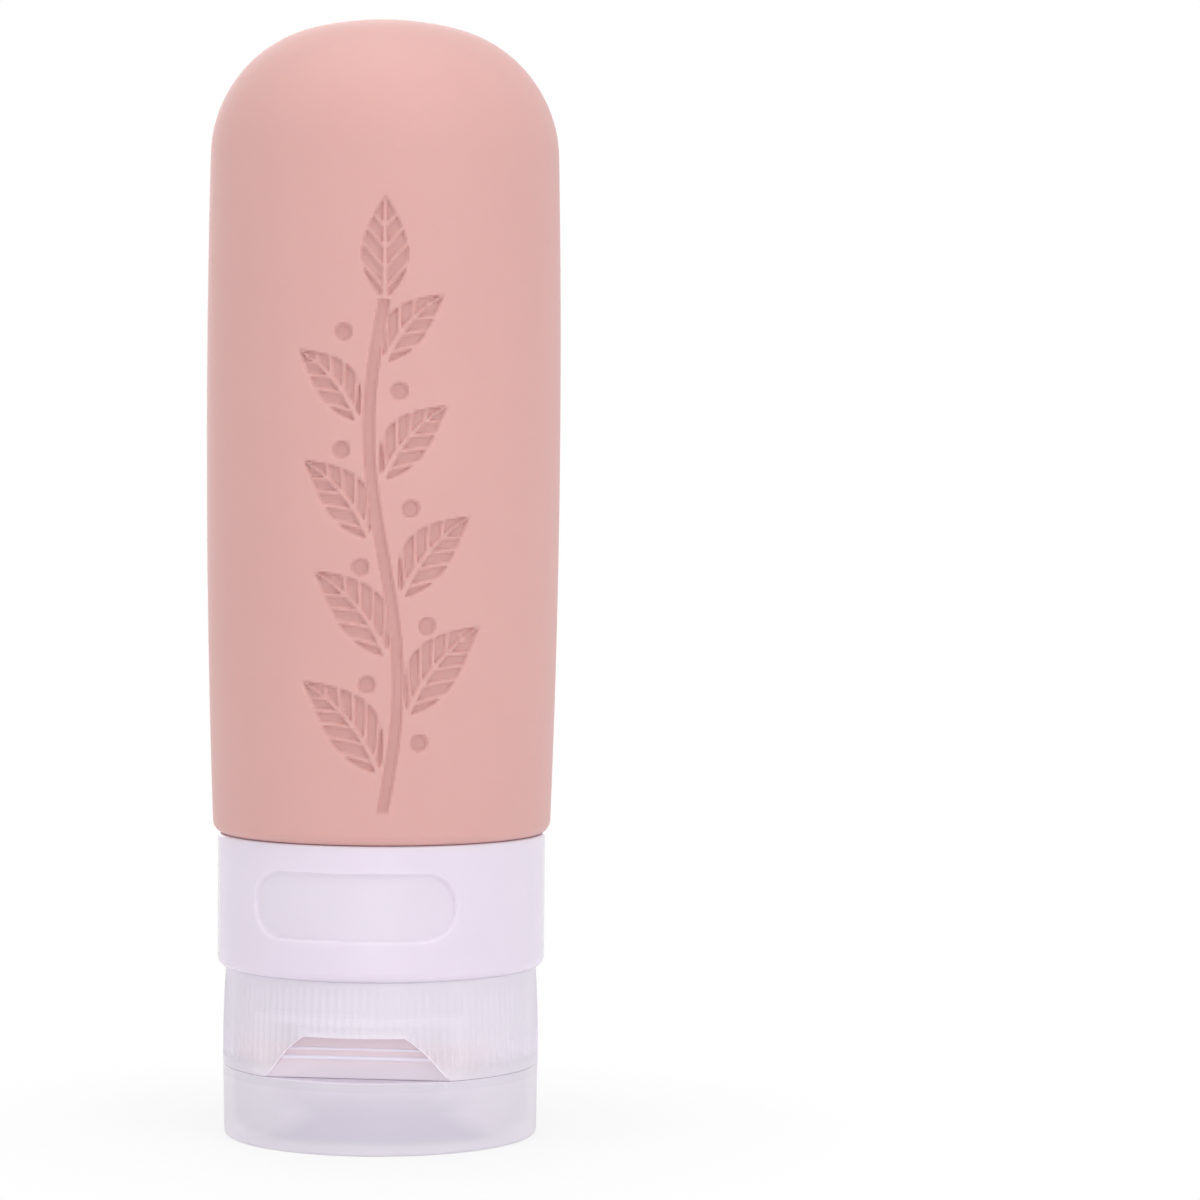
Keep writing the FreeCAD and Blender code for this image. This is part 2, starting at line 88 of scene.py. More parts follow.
def arc(centre, radius, start, stop, count):
    """Points on an arc in the radius and height plane, angles in degrees from the radius axis."""
    angles = [math.radians(start + (stop - start) * n / count) for n in range(count + 1)]
    return [(centre[0] + radius * math.cos(a), centre[1] + radius * math.sin(a)) for a in angles]


def bowed(start, stop, bulge, count):
    """Points on the shallow arc that stands out from a chord by its bulge."""
    points = []
    for n in range(count + 1):
        share = n / count
        out = 4 * bulge * share * (1 - share)
        r = start[0] + (stop[0] - start[0]) * share + out
        z = start[1] + (stop[1] - start[1]) * share
        points.append((r, z))
    return points


def rounded(before, corner, after, radius, count=5):
    """Points that round the corner between two straight runs of a profile."""
    here = np.array(corner, float)
    back = np.array(before, float) - here
    ahead = np.array(after, float) - here
    back /= np.linalg.norm(back)
    ahead /= np.linalg.norm(ahead)
    half = math.acos(float(np.clip(back @ ahead, -1, 1))) / 2
    reach = radius / math.tan(half)
    middle = here + (back + ahead) / np.linalg.norm(back + ahead) * radius / math.sin(half)
    first = here + back * reach - middle
    last = here + ahead * reach - middle
    sweep = math.pi - 2 * half
    points = []
    for n in range(count + 1):
        share = n / count
        leg = (first * math.sin((1 - share) * sweep) + last * math.sin(share * sweep)) / math.sin(sweep)
        points.append(tuple(middle + leg))
    return points


def profile_of(corners):
    """A closed profile. A corner with a third number is rounded with that radius."""
    points = []
    for n, corner in enumerate(corners):
        before = corners[n - 1][:2]
        after = corners[(n + 1) % len(corners)][:2]
        if len(corner) == 3:
            points += rounded(before, corner[:2], after, corner[2])
        else:
            points.append(corner)
    return points


def face_outward():
    """Turns all faces of the piece at hand outward."""
    bpy.ops.object.mode_set(mode="EDIT")
    bpy.ops.mesh.select_all(action="SELECT")
    bpy.ops.mesh.normals_make_consistent(inside=False)
    bpy.ops.object.mode_set(mode="OBJECT")


def turned(name, profile, sectors, start_deg, closed=True):
    """Draws a profile and turns it about the axis, in one sector of (degrees, steps) after another."""
    ring = profile + profile[:1] if closed else profile
    turn_deg = start_deg
    parts = []
    for degrees, steps in sectors:
        turn = math.radians(turn_deg)
        points = [np.array((r * math.sin(turn), -r * math.cos(turn), z)) * MM for r, z in ring]
        bpy.ops.object.select_all(action="DESELECT")
        bpy.ops.mesh.primitive_plane_add(size=MM)
        bpy.ops.object.mode_set(mode="EDIT")
        bpy.ops.mesh.merge(type="CENTER")
        bpy.ops.transform.translate(value=points[0])
        for here, there in zip(points, points[1:]):
            bpy.ops.mesh.extrude_region_move(TRANSFORM_OT_translate={"value": there - here})
        bpy.ops.object.mode_set(mode="OBJECT")
        bpy.ops.object.modifier_add(type="SCREW")
        screw = bpy.context.object.modifiers[-1]
        screw.angle = math.radians(degrees)
        screw.steps = steps
        screw.render_steps = steps
        bpy.ops.object.modifier_apply(modifier=screw.name)
        parts.append(bpy.context.object)
        turn_deg += degrees
    if len(parts) > 1:
        for part in parts:
            part.select_set(True)
        bpy.ops.object.join()
    piece = bpy.context.object
    piece.name = name
    piece.data.name = name
    bpy.ops.object.mode_set(mode="EDIT")
    bpy.ops.mesh.select_all(action="SELECT")
    bpy.ops.mesh.remove_doubles(threshold=WELD * MM)
    bpy.ops.object.mode_set(mode="OBJECT")
    face_outward()
    return piece


def points_of(piece):
    """The points of a piece in millimetres, one in each row."""
    flat = np.empty(len(piece.data.vertices) * 3)
    piece.data.vertices.foreach_get("co", flat)
    return flat.reshape(-1, 3) / MM


def move_points(piece, points):
    """Puts the points of a piece at places given in millimetres."""
    piece.data.vertices.foreach_set("co", (points * MM).ravel())
    piece.data.update()


def take(piece):
    """Makes a piece the active one, and the only one selected."""
    bpy.ops.object.select_all(action="DESELECT")
    piece.select_set(True)
    bpy.context.view_layer.objects.active = piece


def smooth(piece, degrees=35):
    """Shades a piece smooth, apart from edges that are sharper than an angle."""
    take(piece)
    bpy.ops.object.shade_smooth_by_angle(angle=math.radians(degrees))


def step_up(distance, width):
    """A soft step from 0 to 1 as a distance passes through zero."""
    share = np.clip(distance / width + 0.5, 0, 1)
    return share * share * (3 - 2 * share)


# The dome is a flat crown arc and a tight shoulder arc. They meet on the line through their two centres.
crown_centre_z = BODY_TOP_Z - BODY_CROWN_R
dome_height = BODY_TOP_Z - BODY_SHOULDER_Z
dome_r = 2 * BODY_CROWN_R * dome_height - BODY_SHOULDER_R ** 2 - dome_height ** 2
dome_r /= 2 * (BODY_CROWN_R - BODY_SHOULDER_R)
dome_centre = (BODY_SHOULDER_R - dome_r, BODY_SHOULDER_Z)
meet_deg = math.degrees(math.atan2(BODY_SHOULDER_Z - crown_centre_z, BODY_SHOULDER_R - dome_r))
crown_centre = (0.0, crown_centre_z)
barrel_rows = round((BODY_SHOULDER_Z - BODY_FOOT_Z) / SPRIG_STEP)
barrel = bowed((BODY_FOOT_R, BODY_FOOT_Z), (BODY_SHOULDER_R, BODY_SHOULDER_Z), BODY_BULGE, barrel_rows)
barrel = [point for point in barrel if point[1] > BODY_FOOT_Z + BODY_FOOT_ROUND]
foot = rounded((SLEEVE_R, BODY_FOOT_Z), (BODY_FOOT_R, BODY_FOOT_Z), barrel[0], BODY_FOOT_ROUND, FOOT_STEPS)
inner_barrel = [(r - BODY_WALL, z) for r, z in barrel[INNER_FIRST_ROW::INNER_ROW_SKIP]]
body_profile = (
    [(BORE_R, DECK_Z)]
    + rounded((BORE_R, DECK_Z), (LIP_R, DECK_Z), (LIP_R, LIP_TOP_Z), LIP_ROUND)
    + [(LIP_R, LIP_TOP_Z), (THROAT_R, LIP_TOP_Z), (THROAT_R, WEB_Z)]
    + [(SLEEVE_R, WEB_Z), (SLEEVE_R, BODY_FOOT_Z)]
    + foot + barrel
    + arc(dome_centre, dome_r, 0, meet_deg, SHOULDER_STEPS)[1:]
    + arc(crown_centre, BODY_CROWN_R, meet_deg, 90, CROWN_STEPS)[1:]
    + arc(crown_centre, BODY_CROWN_R - BODY_WALL, 90, meet_deg, INNER_DOME_STEPS)
    + arc(dome_centre, dome_r - BODY_WALL, meet_deg, 0, INNER_DOME_STEPS)[1:]
    + inner_barrel[::-1]
    + [(SLEEVE_R - BODY_WALL, FUNNEL_Z), (BORE_R, WEB_Z + BODY_WALL)]
)
sprig_deg = math.degrees(SPRIG_HALF_WIDTH / BODY_SHOULDER_R)
sprig_steps = round(2 * SPRIG_HALF_WIDTH / SPRIG_STEP)
side_deg = 180 - 2 * sprig_deg
side_steps = round(side_deg / SIDE_STEP_DEG)
body_sectors = [(2 * sprig_deg, sprig_steps), (side_deg, side_steps)] * 2
silicone_body = turned("soft_bottle", body_profile, body_sectors, SPRIG_TURN - sprig_deg)

# The sprig: an S-shaped stem with leaves to either side in turn, a leaf at its tip, and berries between them.
STEM_SWAY = 1.7
STEM_WIDTH = 1.2
LEAF_COUNT = 8
LEAF_LONG = 14.0
LEAF_SHORT = 10.5
LEAF_SLIM = 0.46
LEAF_LEAN = 42.0
LEAF_FIRST_Z = 43.5
LEAF_LAST_Z = 89.5
LEAF_BOW = 0.09
LEAF_SWELL = 0.8
TIP_LEAF_Z = 96.5
TIP_LEAF_LONG = 12.0
MIDRIB_WIDTH = 0.62
MIDRIB_ROOT = 1.25
VEIN_WIDTH = 0.42
VEIN_PITCH = 2.3
VEIN_SLOPE = 1.15
VEIN_RISE = 0.8
VEIN_LAST = 0.8
VEIN_FADE = 0.1
BERRY_R = 0.95
BERRY_OUT = 3.4
BERRY_RISE = 6.8


def stem_x(z):
    """How far the stem sways to the side at a height."""
    return STEM_SWAY * np.sin((z - SPRIG_FOOT_Z) / (TIP_LEAF_Z - SPRIG_FOOT_Z) * 2 * math.pi)


def leaf(across, up, foot_x, foot_z, length, lean_deg, bow):
    """How deep a leaf sinks at points of the flattened wall: 1 on its blade, less on its raised ribs."""
    lean = math.radians(lean_deg)
    along = (across - foot_x) * math.sin(lean) + (up - foot_z) * math.cos(lean)
    aside = (across - foot_x) * math.cos(lean) - (up - foot_z) * math.sin(lean)
    share = np.clip(along / length, 0, 1)
    aside = aside - bow * length * 4 * share * (1 - share)
    half = length * LEAF_SLIM / 2 * np.sin(math.pi * share ** LEAF_SWELL)
    inside = half - np.abs(aside)
    beyond = np.maximum(-along, along - length)
    inside = np.where(beyond > 0, -np.hypot(beyond, aside), inside)
    blade = step_up(inside - SPRIG_RIM / 2, SPRIG_RIM)
    midrib = 1 - step_up(np.abs(aside) - MIDRIB_WIDTH / 2 * (MIDRIB_ROOT - share), SPRIG_RIM)
    runs = along - np.abs(aside) * VEIN_SLOPE
    off_vein = np.abs((runs / VEIN_PITCH) % 1 - 0.5) * VEIN_PITCH / math.hypot(1, VEIN_SLOPE)
    veins = VEIN_RISE * (1 - step_up(off_vein - VEIN_WIDTH / 2, SPRIG_RIM))
    veins *= step_up(VEIN_LAST - share, VEIN_FADE)
    return blade * (1 - np.maximum(midrib, veins))


def sprig(across, up):
    """How deep the whole sprig sinks at points of the flattened wall, from 0 to 1."""
    within = step_up(np.minimum(up - SPRIG_FOOT_Z, TIP_LEAF_Z - up), SPRIG_RIM)
    deep = within * step_up(STEM_WIDTH / 2 - np.abs(across - stem_x(up)), SPRIG_RIM)
    for n in range(LEAF_COUNT):
        share = n / (LEAF_COUNT - 1)
        side = 1 if n % 2 else -1
        z = LEAF_FIRST_Z + (LEAF_LAST_Z - LEAF_FIRST_Z) * share
        length = LEAF_LONG + (LEAF_SHORT - LEAF_LONG) * share
        blade = leaf(across, up, stem_x(z) + side * STEM_WIDTH, z, length, side * LEAF_LEAN, side * -LEAF_BOW)
        berry = BERRY_R - np.hypot(across - stem_x(z) + side * BERRY_OUT, up - z - BERRY_RISE / 2)
        deep = np.maximum(deep, np.maximum(blade, step_up(berry, SPRIG_RIM)))
    return np.maximum(deep, leaf(across, up, stem_x(TIP_LEAF_Z), TIP_LEAF_Z, TIP_LEAF_LONG, 0, 0))


def around(points):
    """Radius, and angle in degrees from the front towards +X."""
    return np.hypot(points[:, 0], points[:, 1]), np.degrees(np.arctan2(points[:, 0], -points[:, 1]))


def push_out(points, radius, moved):
    """Moves points away from the axis by the given distances."""
    stretch = 1 + moved / np.maximum(radius, AXIS_SPARE)
    points[:, 0] *= stretch
    points[:, 1] *= stretch


def keep(piece, name, domain, shares):
    """Keeps a share for each point or face of a piece, for its finish to read."""
    kept = piece.data.attributes.new(name, "FLOAT", domain)
    kept.data.foreach_set("value", shares.astype(np.float32))


# The wall is sunk where the sprig lies, in front and behind.
points = points_of(silicone_body)
radius, angle = around(points)
sunk = np.zeros(len(points))
for face_deg in (SPRIG_TURN, SPRIG_TURN - 180):
    off = (angle - face_deg + 180) % 360 - 180
    skin = (radius > BODY_FOOT_R - SKIN_SPARE) & (np.abs(off) < sprig_deg)
    skin &= (points[:, 2] > SPRIG_FOOT_Z - SPRIG_SPARE) & (points[:, 2] < SPRIG_HEAD_Z + SPRIG_SPARE)
    sunk[skin] = sprig(np.radians(off[skin]) * BODY_SHOULDER_R, points[skin, 2])
push_out(points, radius, -SPRIG_DEPTH * sunk)
move_points(silicone_body, points)
keep(silicone_body, "pressed", "POINT", sunk)
smooth(silicone_body)


class Wire:
    """A socket in a material. Sums and products of wires add their own nodes."""

    def __init__(self, tree, socket=None):
        self.tree = tree
        self.socket = socket

    def node(self, kind, settings, sockets, output=0):
        """Adds a node, sets it up, and fills its sockets with values or wires."""
        made = self.tree.nodes.new(kind)
        for name, setting in settings.items():
            setattr(made, name, setting)
        for name, given in sockets.items():
            if isinstance(given, Wire):
                self.tree.links.new(given.socket, made.inputs[name])
            else:
                made.inputs[name].default_value = given
        return Wire(self.tree, made.outputs[output] if made.outputs else None)

    def maths(self, operation, first, second):
        """Adds a node that works out one sum from two values or wires."""
        return self.node("ShaderNodeMath", {"operation": operation}, {0: first, 1: second})

    def __add__(self, other):
        return self.maths("ADD", self, other)

    def __sub__(self, other):
        return self.maths("SUBTRACT", self, other)

    def __rsub__(self, other):
        return self.maths("SUBTRACT", other, self)

    def __mul__(self, other):
        return self.maths("MULTIPLY", self, other)

    __radd__ = __add__
    __rmul__ = __mul__


def new_finish(name):
    """A new material, a wire that adds its nodes, and the place of a point on its piece."""
    finish = bpy.data.materials.new(name)
    finish.use_nodes = True
    finish.node_tree.nodes.clear()
    wire = Wire(finish.node_tree)
    return finish, wire, wire.node("ShaderNodeTexCoord", {}, {}, "Object")


def dress(piece, finish):
    """Gives a piece one finish and no other."""
    piece.data.materials.clear()
    piece.data.materials.append(finish)


def noise(wire, place, scale, detail=2.0):
    """A share that varies from place to place, the more often the larger its scale."""
    return wire.node("ShaderNodeTexNoise", {}, {"Vector": place, "Scale": scale, "Detail": detail}, "Fac")


# The sockets of a mix node when it mixes colours.
MIX_FIRST = 6
MIX_SECOND = 7
MIX_RESULT = 2


def between(wire, share, first, second):
    """Mixes two colours, from the first at a share of 0 to the second at 1."""
    sockets = {0: share, MIX_FIRST: first, MIX_SECOND: second}
    return wire.node("ShaderNodeMix", {"data_type": "RGBA"}, sockets, MIX_RESULT)


def ramp(wire, given, low, high, first=0.0, last=1.0):
    """Runs smoothly from a first to a last value as a wire goes from low to high."""
    return wire.node("ShaderNodeMapRange", {"interpolation_type": "SMOOTHSTEP"}, {
        "Value": given, "From Min": low, "From Max": high, "To Min": first, "To Max": last,
    })


def bump(wire, height, strength, distance):
    """A surface roughened by a height, over a distance in millimetres."""
    sockets = {"Height": height, "Strength": strength, "Distance": distance * MM}
    return wire.node("ShaderNodeBump", {}, sockets)


def kept_share(wire, name):
    """Reads the share that a piece keeps under a name."""
    return wire.node("ShaderNodeAttribute", {"attribute_name": name}, {}, "Fac")


# How a screen's colours follow from linear light: a straight toe, then a power.
SCREEN_MOST = 255
TOE_END = 0.04045
TOE_SLOPE = 12.92
POWER_SHIFT = 0.055
POWER = 2.4


def colour(red, green, blue):
    """A colour written as on a screen, from 0 to 255, turned to linear light."""
    linear = []
    for part in (red, green, blue):
        share = part / SCREEN_MOST
        if share <= TOE_END:
            linear.append(share / TOE_SLOPE)
        else:
            linear.append(((share + POWER_SHIFT) / (1 + POWER_SHIFT)) ** POWER)
    return (*linear, 1.0)


# Silicone finish: matt, softly clouded and finely grained, and darker where the sprig is pressed in.
SILICONE_PALE = colour(223, 174, 168)
SILICONE_DEEP = colour(217, 167, 162)
SILICONE_PRESSED = colour(207, 157, 152)
SILICONE_ROUGH = 0.5
SILICONE_ROUGH_SPREAD = 0.12
PRESSED_SHARE = 0.75
GRAIN_SHARE = 0.6
soft_silicone, wire, place = new_finish("soft_silicone")
cloud = noise(wire, place, scale=42.0, detail=3.0)
grain = noise(wire, place, scale=5200.0)
speck = noise(wire, place, scale=1500.0)
skin_colour = between(wire, cloud, SILICONE_DEEP, SILICONE_PALE)
skin_colour = between(wire, kept_share(wire, "pressed") * PRESSED_SHARE, skin_colour, SILICONE_PRESSED)
skin_height = grain * GRAIN_SHARE + speck * (1 - GRAIN_SHARE)
skin = wire.node("ShaderNodeBsdfPrincipled", {"subsurface_method": "RANDOM_WALK"}, {
    "Base Color": skin_colour,
    "Roughness": speck * SILICONE_ROUGH_SPREAD + SILICONE_ROUGH,
    "IOR": 1.41,
    "Subsurface Weight": 0.25,
    "Subsurface Radius": (1.0, 0.55, 0.45),
    "Subsurface Scale": 1.2 * MM,
    "Sheen Weight": 0.12,
    "Sheen Roughness": 0.5,
    "Normal": bump(wire, skin_height, strength=0.35, distance=0.03),
})
wire.node("ShaderNodeOutputMaterial", {}, {"Surface": skin})
dress(silicone_body, soft_silicone)
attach(silicone_body, "bottle")
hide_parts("silicone_body")

# Collar: rigid sleeve of milky polypropylene that the silicone's foot sits in, with the threaded neck below.
# Injection moulded in one piece, polished outside, with a shallow pill-shaped place for a label at the front.
COLLAR_FOOT_Z = 19.7
COLLAR_R = 19.1
COLLAR_WALL = 1.2
COLLAR_FOOT_ROUND = 1.1
COLLAR_RIM_ROUND = 0.3
NECK_R = 12.6
NECK_BORE_R = 11.3
LABEL_HALF_WIDTH = 12.5
LABEL_TURN_DEG = -1.2
LABEL_HEIGHT = 7.5
LABEL_Z = 28.2
LABEL_DEPTH = 0.35
LABEL_RIM = 0.3
LABEL_STEP = 0.2
LABEL_SPARE = 1.2
THREAD_LEAD = 6.0
THREAD_STARTS = 2
NECK_THREAD_RISE = 0.5
NECK_THREAD_WIDTH = 1.0
NECK_THREAD_LOW_Z = 13.0
NECK_THREAD_HIGH_Z = 18.8
THREAD_SLOPE = 0.5
THREAD_STEP = 0.25
COLLAR_STEPS = 110
RIM_STEPS = 4
ON_SURFACE = 0.01
OFF_EDGE = 0.1


def rows(start, stop, step):
    """Points on a straight run at about the given step, without its last point."""
    count = max(1, round(math.dist(start, stop) / step))
    return [tuple(np.array(start) + (np.array(stop) - np.array(start)) * n / count) for n in range(count)]


def thread(points, low_z, high_z, width, shift):
    """Height share of a right-hand thread ridge at each point, run out at both of its ends."""
    radius, angle = around(points)
    pitch = THREAD_LEAD / THREAD_STARTS
    phase = (points[:, 2] - THREAD_LEAD * angle / 360 - shift) / pitch % 1
    ridge = step_up(width / 2 - np.abs(phase - 0.5) * pitch, THREAD_SLOPE)
    from_end = np.minimum(points[:, 2] - low_z, high_z - points[:, 2])
    return ridge * step_up(from_end - THREAD_SLOPE, 2 * THREAD_SLOPE)


wall_foot = (COLLAR_R, COLLAR_FOOT_Z + COLLAR_FOOT_ROUND)
wall_head = (COLLAR_R, BODY_FOOT_Z - COLLAR_RIM_ROUND)
collar_profile = (
    rows((NECK_R, LIP_TOP_Z), (NECK_R, COLLAR_FOOT_Z), THREAD_STEP)
    + [(NECK_R, COLLAR_FOOT_Z)]
    + rounded(
        (NECK_R, COLLAR_FOOT_Z), (COLLAR_R, COLLAR_FOOT_Z), wall_head, COLLAR_FOOT_ROUND, FOOT_STEPS,
    )[:-1]
    + rows(wall_foot, wall_head, LABEL_STEP)
    + rounded(wall_foot, (COLLAR_R, BODY_FOOT_Z), (SLEEVE_R, BODY_FOOT_Z), COLLAR_RIM_ROUND, RIM_STEPS)
    + [
        (COLLAR_R - COLLAR_WALL, BODY_FOOT_Z),
        (COLLAR_R - COLLAR_WALL, WEB_Z),
        (NECK_BORE_R, WEB_Z),
        (NECK_BORE_R, LIP_TOP_Z),
    ]
)
label_deg = math.degrees((LABEL_HALF_WIDTH + LABEL_SPARE) / COLLAR_R)
label_steps = round(2 * (LABEL_HALF_WIDTH + LABEL_SPARE) / LABEL_STEP)
collar_sectors = [(2 * label_deg, label_steps), (360 - 2 * label_deg, COLLAR_STEPS)]
collar = turned("rigid_collar", collar_profile, collar_sectors, -label_deg)

# The place for the label is sunk, and the thread stands out on the neck.
points = points_of(collar)
radius, angle = around(points)
flat_half = LABEL_HALF_WIDTH - LABEL_HEIGHT / 2
along = np.maximum(np.abs(np.radians(angle - LABEL_TURN_DEG) * COLLAR_R) - flat_half, 0)
pill = LABEL_HEIGHT / 2 - np.hypot(along, points[:, 2] - LABEL_Z)
outside = radius > COLLAR_R - ON_SURFACE
on_neck = (np.abs(radius - NECK_R) < ON_SURFACE) & (points[:, 2] < COLLAR_FOOT_Z - OFF_EDGE)
moved = -LABEL_DEPTH * step_up(pill, LABEL_RIM) * outside
ridge = thread(points, NECK_THREAD_LOW_Z, NECK_THREAD_HIGH_Z, NECK_THREAD_WIDTH, 0.0)
moved += NECK_THREAD_RISE * ridge * on_neck
push_out(points, radius, moved)
move_points(collar, points)
smooth(collar)

# Milky finish: glossy and faintly clouded, with some light passing below its skin.
MILKY_PALE = colour(236, 226, 240)
MILKY_DEEP = colour(230, 219, 235)
MILKY_ROUGH = 0.19
MILKY_ROUGH_SPREAD = 0.06
milky_plastic, wire, place = new_finish("milky_plastic")
cloud = noise(wire, place, scale=60.0)
ripple = noise(wire, place, scale=900.0)
shell = wire.node("ShaderNodeBsdfPrincipled", {"subsurface_method": "RANDOM_WALK"}, {
    "Base Color": between(wire, cloud, MILKY_DEEP, MILKY_PALE),
    "Roughness": cloud * MILKY_ROUGH_SPREAD + MILKY_ROUGH,
    "IOR": 1.49,
    "Subsurface Weight": 0.5,
    "Subsurface Radius": (1.0, 0.9, 1.0),
    "Subsurface Scale": 1.5 * MM,
    "Normal": bump(wire, ripple, strength=0.05, distance=0.02),
})
wire.node("ShaderNodeOutputMaterial", {}, {"Surface": shell})
dress(collar, milky_plastic)
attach(collar, "bottle")
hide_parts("collar")

# Slit valve: small dished diaphragm of clear silicone that lies on the deck behind the nozzle.
# It is moulded with a thick flange, and its cross slit opens under a squeeze and shuts by itself.
VALVE_R = 7.4
VALVE_FLANGE = 1.2
VALVE_SKIN = 0.7
VALVE_DIP = 0.9
VALVE_ROLL = 0.6
VALVE_ROUND = 0.2
DISH_STEPS = 6
RING_STEPS = 96
NOZZLE_BORE_R = 5.0
SLIT_LENGTH = 5.0
SLIT_WIDTH = 0.1
SLIT_DEPTH = 4.0


def reshape(piece, tool, operation):
    """Joins a tool shape to a piece or cuts it out, and removes the tool."""
    take(piece)
    bpy.ops.object.modifier_add(type="BOOLEAN")
    modifier = piece.modifiers[-1]
    modifier.operation = operation
    modifier.solver = "MANIFOLD"
    modifier.object = tool
    bpy.ops.object.modifier_apply(modifier=modifier.name)
    bpy.data.objects.remove(tool)


roll_r = NOZZLE_BORE_R - VALVE_ROLL
dish_top = bowed((0.0, DECK_Z + VALVE_DIP), (roll_r, DECK_Z), 0.0, DISH_STEPS)
dish_back = bowed((roll_r, DECK_Z + VALVE_SKIN), (0.0, DECK_Z + VALVE_DIP + VALVE_SKIN), 0.0, DISH_STEPS)
valve_profile = (
    dish_top
    + rounded((0, DECK_Z), (VALVE_R, DECK_Z), (VALVE_R, DECK_Z + VALVE_FLANGE), VALVE_ROUND)
    + rounded((VALVE_R, DECK_Z), (VALVE_R, DECK_Z + VALVE_FLANGE), (0, DECK_Z + VALVE_FLANGE), VALVE_ROUND)
    + [(NOZZLE_BORE_R, DECK_Z + VALVE_FLANGE)]
    + dish_back
)
slit_valve = turned("slit_diaphragm", valve_profile, [(360, RING_STEPS)], 0.0, closed=False)

# The cross slit is cut with two thin blades.
for wide_x, wide_y in ((SLIT_LENGTH, SLIT_WIDTH), (SLIT_WIDTH, SLIT_LENGTH)):
    bpy.ops.object.select_all(action="DESELECT")
    bpy.ops.mesh.primitive_cube_add(size=1, location=(0, 0, (DECK_Z + VALVE_DIP) * MM))
    blade = bpy.context.object
    bpy.ops.transform.resize(value=(wide_x * MM, wide_y * MM, SLIT_DEPTH * MM))
    bpy.ops.object.transform_apply(location=True, rotation=True, scale=True)
    reshape(slit_valve, blade, "DIFFERENCE")
smooth(slit_valve)

# Clear finish: satin silicone that lets part of the light through.
CLEAR_PALE = colour(240, 236, 238)
CLEAR_DEEP = colour(226, 220, 224)
CLEAR_ROUGH = 0.3
CLEAR_ROUGH_SPREAD = 0.1
clear_silicone, wire, place = new_finish("clear_silicone")
cloud = noise(wire, place, scale=300.0)
valve_skin = wire.node("ShaderNodeBsdfPrincipled", {}, {
    "Base Color": between(wire, cloud, CLEAR_DEEP, CLEAR_PALE),
    "Roughness": cloud * CLEAR_ROUGH_SPREAD + CLEAR_ROUGH,
    "IOR": 1.41,
    "Transmission Weight": 0.4,
})
wire.node("ShaderNodeOutputMaterial", {}, {"Surface": valve_skin})
dress(slit_valve, clear_silicone)
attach(slit_valve, "cap")
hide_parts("slit_valve")

# Valve retainer: plain ring of the cap's own polypropylene that snaps under the bead of the valve's socket.
# It holds the valve's flange down on the deck, with a bevel at its mouth for what is poured.
RING_R = 8.0
RING_BORE_R = 5.6
RING_FOOT_Z = 11.0
RING_HEAD_Z = 12.6
RING_BEVEL = 0.6
RING_ROUND = 0.2

ring_profile = profile_of([
    (RING_BORE_R, RING_FOOT_Z),
    (RING_R, RING_FOOT_Z, RING_ROUND),
    (RING_R, RING_HEAD_Z, RING_ROUND),
    (RING_BORE_R + RING_BEVEL, RING_HEAD_Z),
    (RING_BORE_R, RING_HEAD_Z - RING_BEVEL),
])
valve_retainer = turned("retaining_ring", ring_profile, [(360, RING_STEPS)], 0.0)
smooth(valve_retainer)
dress(valve_retainer, milky_plastic)
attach(valve_retainer, "screw_carrier")
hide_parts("valve_retainer")

# Cap base: screw cap of natural polypropylene, frosted and see-through, injection moulded with its hinge.
# Fine upright ribs give grip, a thumb scoop is let into the front, and the inner skirt carries the thread.
PARTING_Z = 8.36
CAP_TOP_Z = 19.69
CAP_R = 18.4
CAP_TOP_R = 18.1
CAP_BULGE = 0.12
CAP_WALL = 1.2
SEAM_ROUND = 0.04
EDGE_ROUND = 0.2
SKIRT_R = 13.4
SKIRT_WALL = 1.2
SKIRT_TOP_Z = 19.0
SKIRT_THREAD_RISE = 0.4
SKIRT_THREAD_LOW_Z = 10.4
SKIRT_THREAD_HIGH_Z = 18.6
NOZZLE_R = 6.2
NOZZLE_FOOT_Z = 6.6
REGISTER_R = 17.05
REGISTER_WALL = 0.9
REGISTER_FOOT_Z = 7.4
REGISTER_BREAK_DEG = 78.0
SOCKET_R = 8.1
SOCKET_WALL = 0.9
SOCKET_BEAD = 0.25
SOCKET_BEAD_Z = 12.7
SOCKET_TOP_Z = 13.2
RIB_COUNT = 120
RIB_COLUMNS = 4
RIB_DEPTH_FOOT = 0.24
RIB_DEPTH_HEAD = 0.11
RIB_FOOT_Z = 9.4
RIB_HEAD_Z = 18.8
RIB_ROW = 0.45
RIB_RUN_OUT = 0.5
SCOOP_BACK_Y = 14.8
SCOOP_RIDGES = ((11.7, 0.16), (10.7, 0.24))
SCOOP_TOP_Z = 13.4
SCOOP_FOOT_W = 21.4
SCOOP_TOP_W = 11.7
SCOOP_BOW = 0.6
SCOOP_WALL = 1.1
SCOOP_BLOCK_DEG = 78.0
SCOOP_EDGE_R = 0.12
CUT_OVER = 0.2
SCOOP_ROWS = 14
SCOOP_OVER = 1.0
SECTOR_STEPS = 60
RIDGE_SIDES = 24
EDGE_SIDES = 10
EDGE_FIRST_ROW = 2
CAP_SMOOTH_DEG = 40.0

